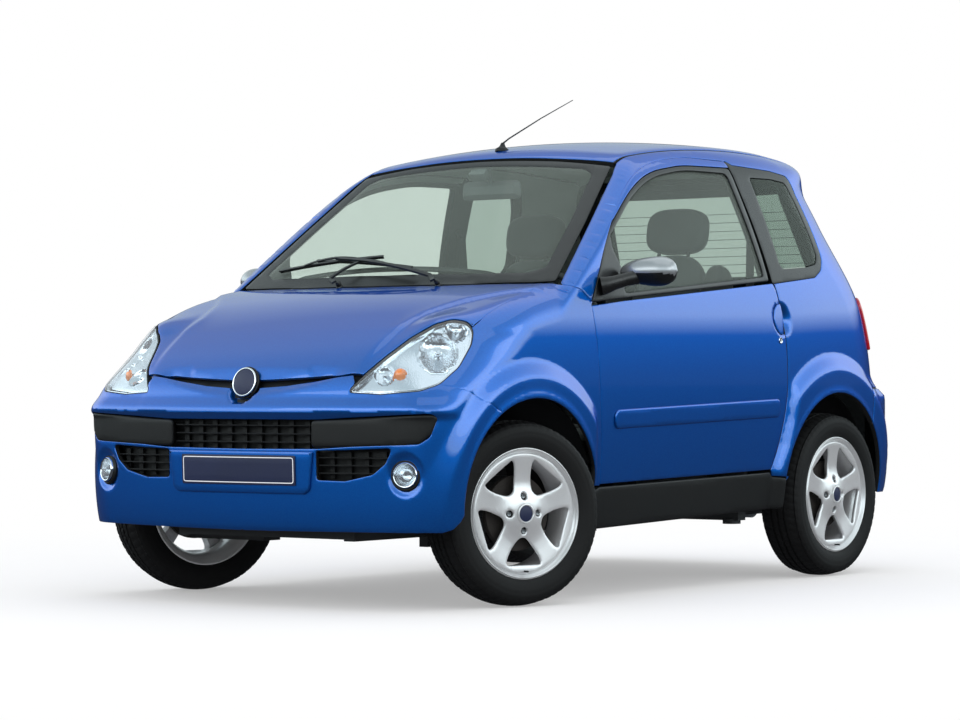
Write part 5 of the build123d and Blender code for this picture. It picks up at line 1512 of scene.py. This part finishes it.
def softbox(name, place, aim, size, power):
    """A flat rectangular lamp at a place, turned to an aim point."""
    data = bpy.data.lights.new(name, "AREA")
    data.shape, data.size, data.size_y, data.energy = "RECTANGLE", size[0], size[1], power
    lamp = bpy.data.objects.new(name, data)
    bpy.context.scene.collection.objects.link(lamp)
    away = Vector(aim) - Vector(place)
    lamp.matrix_world = Matrix.Translation(place) @ away.to_track_quat("-Z", "Y").to_matrix().to_4x4()


softbox("overhead_softbox", (0.6, 0.4, 5.2), (0, 0, 0.6), (6.5, 5.0), 60)
softbox("side_softbox", (7.0, 0.5, 3.4), (0, 0, 0.9), (7.0, 2.2), 50)
softbox("front_softbox", (-1.5, -7.5, 3.6), (0, 0, 0.7), (6.0, 2.4), 60)

# the studio: white to the eye and through glass; in gloss, bright above the horizon and dim at it
world = bpy.data.worlds.new("studio")
bpy.context.scene.world = world
world.use_nodes = True
sky = world.node_tree
paths = add(sky, "ShaderNodeLightPath")
seen = add(sky, "ShaderNodeMath", {0: (paths, "Is Camera Ray"), 1: (paths, "Is Transmission Ray")},
           operation="MAXIMUM")
way = add(sky, "ShaderNodeTexCoord")
rise = add(sky, "ShaderNodeSeparateXYZ", {"Vector": (way, "Generated")})
height = add(sky, "ShaderNodeValToRGB", {"Fac": (rise, "Z")})
stops = height.color_ramp.elements
stops[0].position, stops[0].color = 0.0, (0.05, 0.055, 0.065, 1)
stops[1].position, stops[1].color = 1.0, (0.26, 0.33, 0.35, 1)
for place, tone in ((0.10, 0.04), (0.15, 1.2), (0.36, 1.1), (0.55, 0.5)):
    stop = stops.new(place)
    stop.color = (tone * 0.84, tone * 0.97, tone, 1)
facing = add(sky, "ShaderNodeVectorMath", {0: (way, "Generated")}, {1: (0.6, -0.8, 0.0)},
             operation="DOT_PRODUCT")
behind = add(sky, "ShaderNodeMapRange", {"Value": (facing, "Value")}, From_Min=-0.98, From_Max=-0.55,
             To_Min=0.5, To_Max=2.05)
gloss = add(sky, "ShaderNodeBackground", {"Color": (height, "Color"), "Strength": (behind, "Result")})
dull = add(sky, "ShaderNodeBackground", Color=(0.97, 0.98, 1.0, 1), Strength=1.0)
white = add(sky, "ShaderNodeBackground", Color=(1, 1, 1, 1), Strength=1.0)
lit = add(sky, "ShaderNodeMixShader", {"Fac": (paths, "Is Glossy Ray"), 1: (dull, 0), 2: (gloss, 0)})
whole = add(sky, "ShaderNodeMixShader", {"Fac": (seen, 0), 1: (lit, 0), 2: (white, 0)})
feed(sky, sky.nodes["World Output"], {"Surface": (whole, 0)})

floor_data = bpy.data.meshes.new("floor")
reach = 60.0
floor_data.from_pydata([(-reach, -reach, 0), (reach, -reach, 0), (reach, reach, 0), (-reach, reach, 0)], [],
                       [(0, 1, 2, 3)])
floor = bpy.data.objects.new("floor", floor_data)
bpy.context.scene.collection.objects.link(floor)
# white studio sweep paper: takes the soft shadow near the object and fades to plain white far off
paper, tree, shader, place = material("white_studio_paper", Roughness=0.8, Specular_IOR_Level=0.2)
tone = add(tree, "ShaderNodeTexNoise", {"Vector": (place, "Object")}, Scale=1.5)
mix = add(tree, "ShaderNodeMix", {"Factor": (tone, "Fac")},
          {MIX_A: (0.89, 0.89, 0.89, 1), MIX_B: (0.92, 0.92, 0.92, 1)}, data_type="RGBA")
feed(tree, shader, {"Base Color": (mix, MIXED)})
far = add(tree, "ShaderNodeVectorMath", {0: (place, "Object")}, operation="LENGTH")
fade = add(tree, "ShaderNodeMapRange", {"Value": (far, "Value")}, interpolation_type="SMOOTHSTEP",
           To_Min=0.35, From_Min=2.0, From_Max=4.6)
glow = add(tree, "ShaderNodeEmission", Color=(1, 1, 1, 1), Strength=1.0)
rays = add(tree, "ShaderNodeLightPath")
# seen in gloss the paper is a flat dark emission, not its lit white: a painted dark reflection along the
# body's lower sides
shade = add(tree, "ShaderNodeEmission", Color=(0.06, 0.065, 0.075, 1), Strength=1.0)
by_distance = add(tree, "ShaderNodeMixShader", {"Fac": (fade, "Result"), 1: (shader, 0), 2: (glow, 0)})
in_gloss = add(tree, "ShaderNodeMixShader",
               {"Fac": (rays, "Is Glossy Ray"), 1: (by_distance, 0), 2: (shade, 0)})
feed(tree, tree.nodes["Material Output"], {"Surface": (in_gloss, 0)})
floor_data.materials.append(paper)
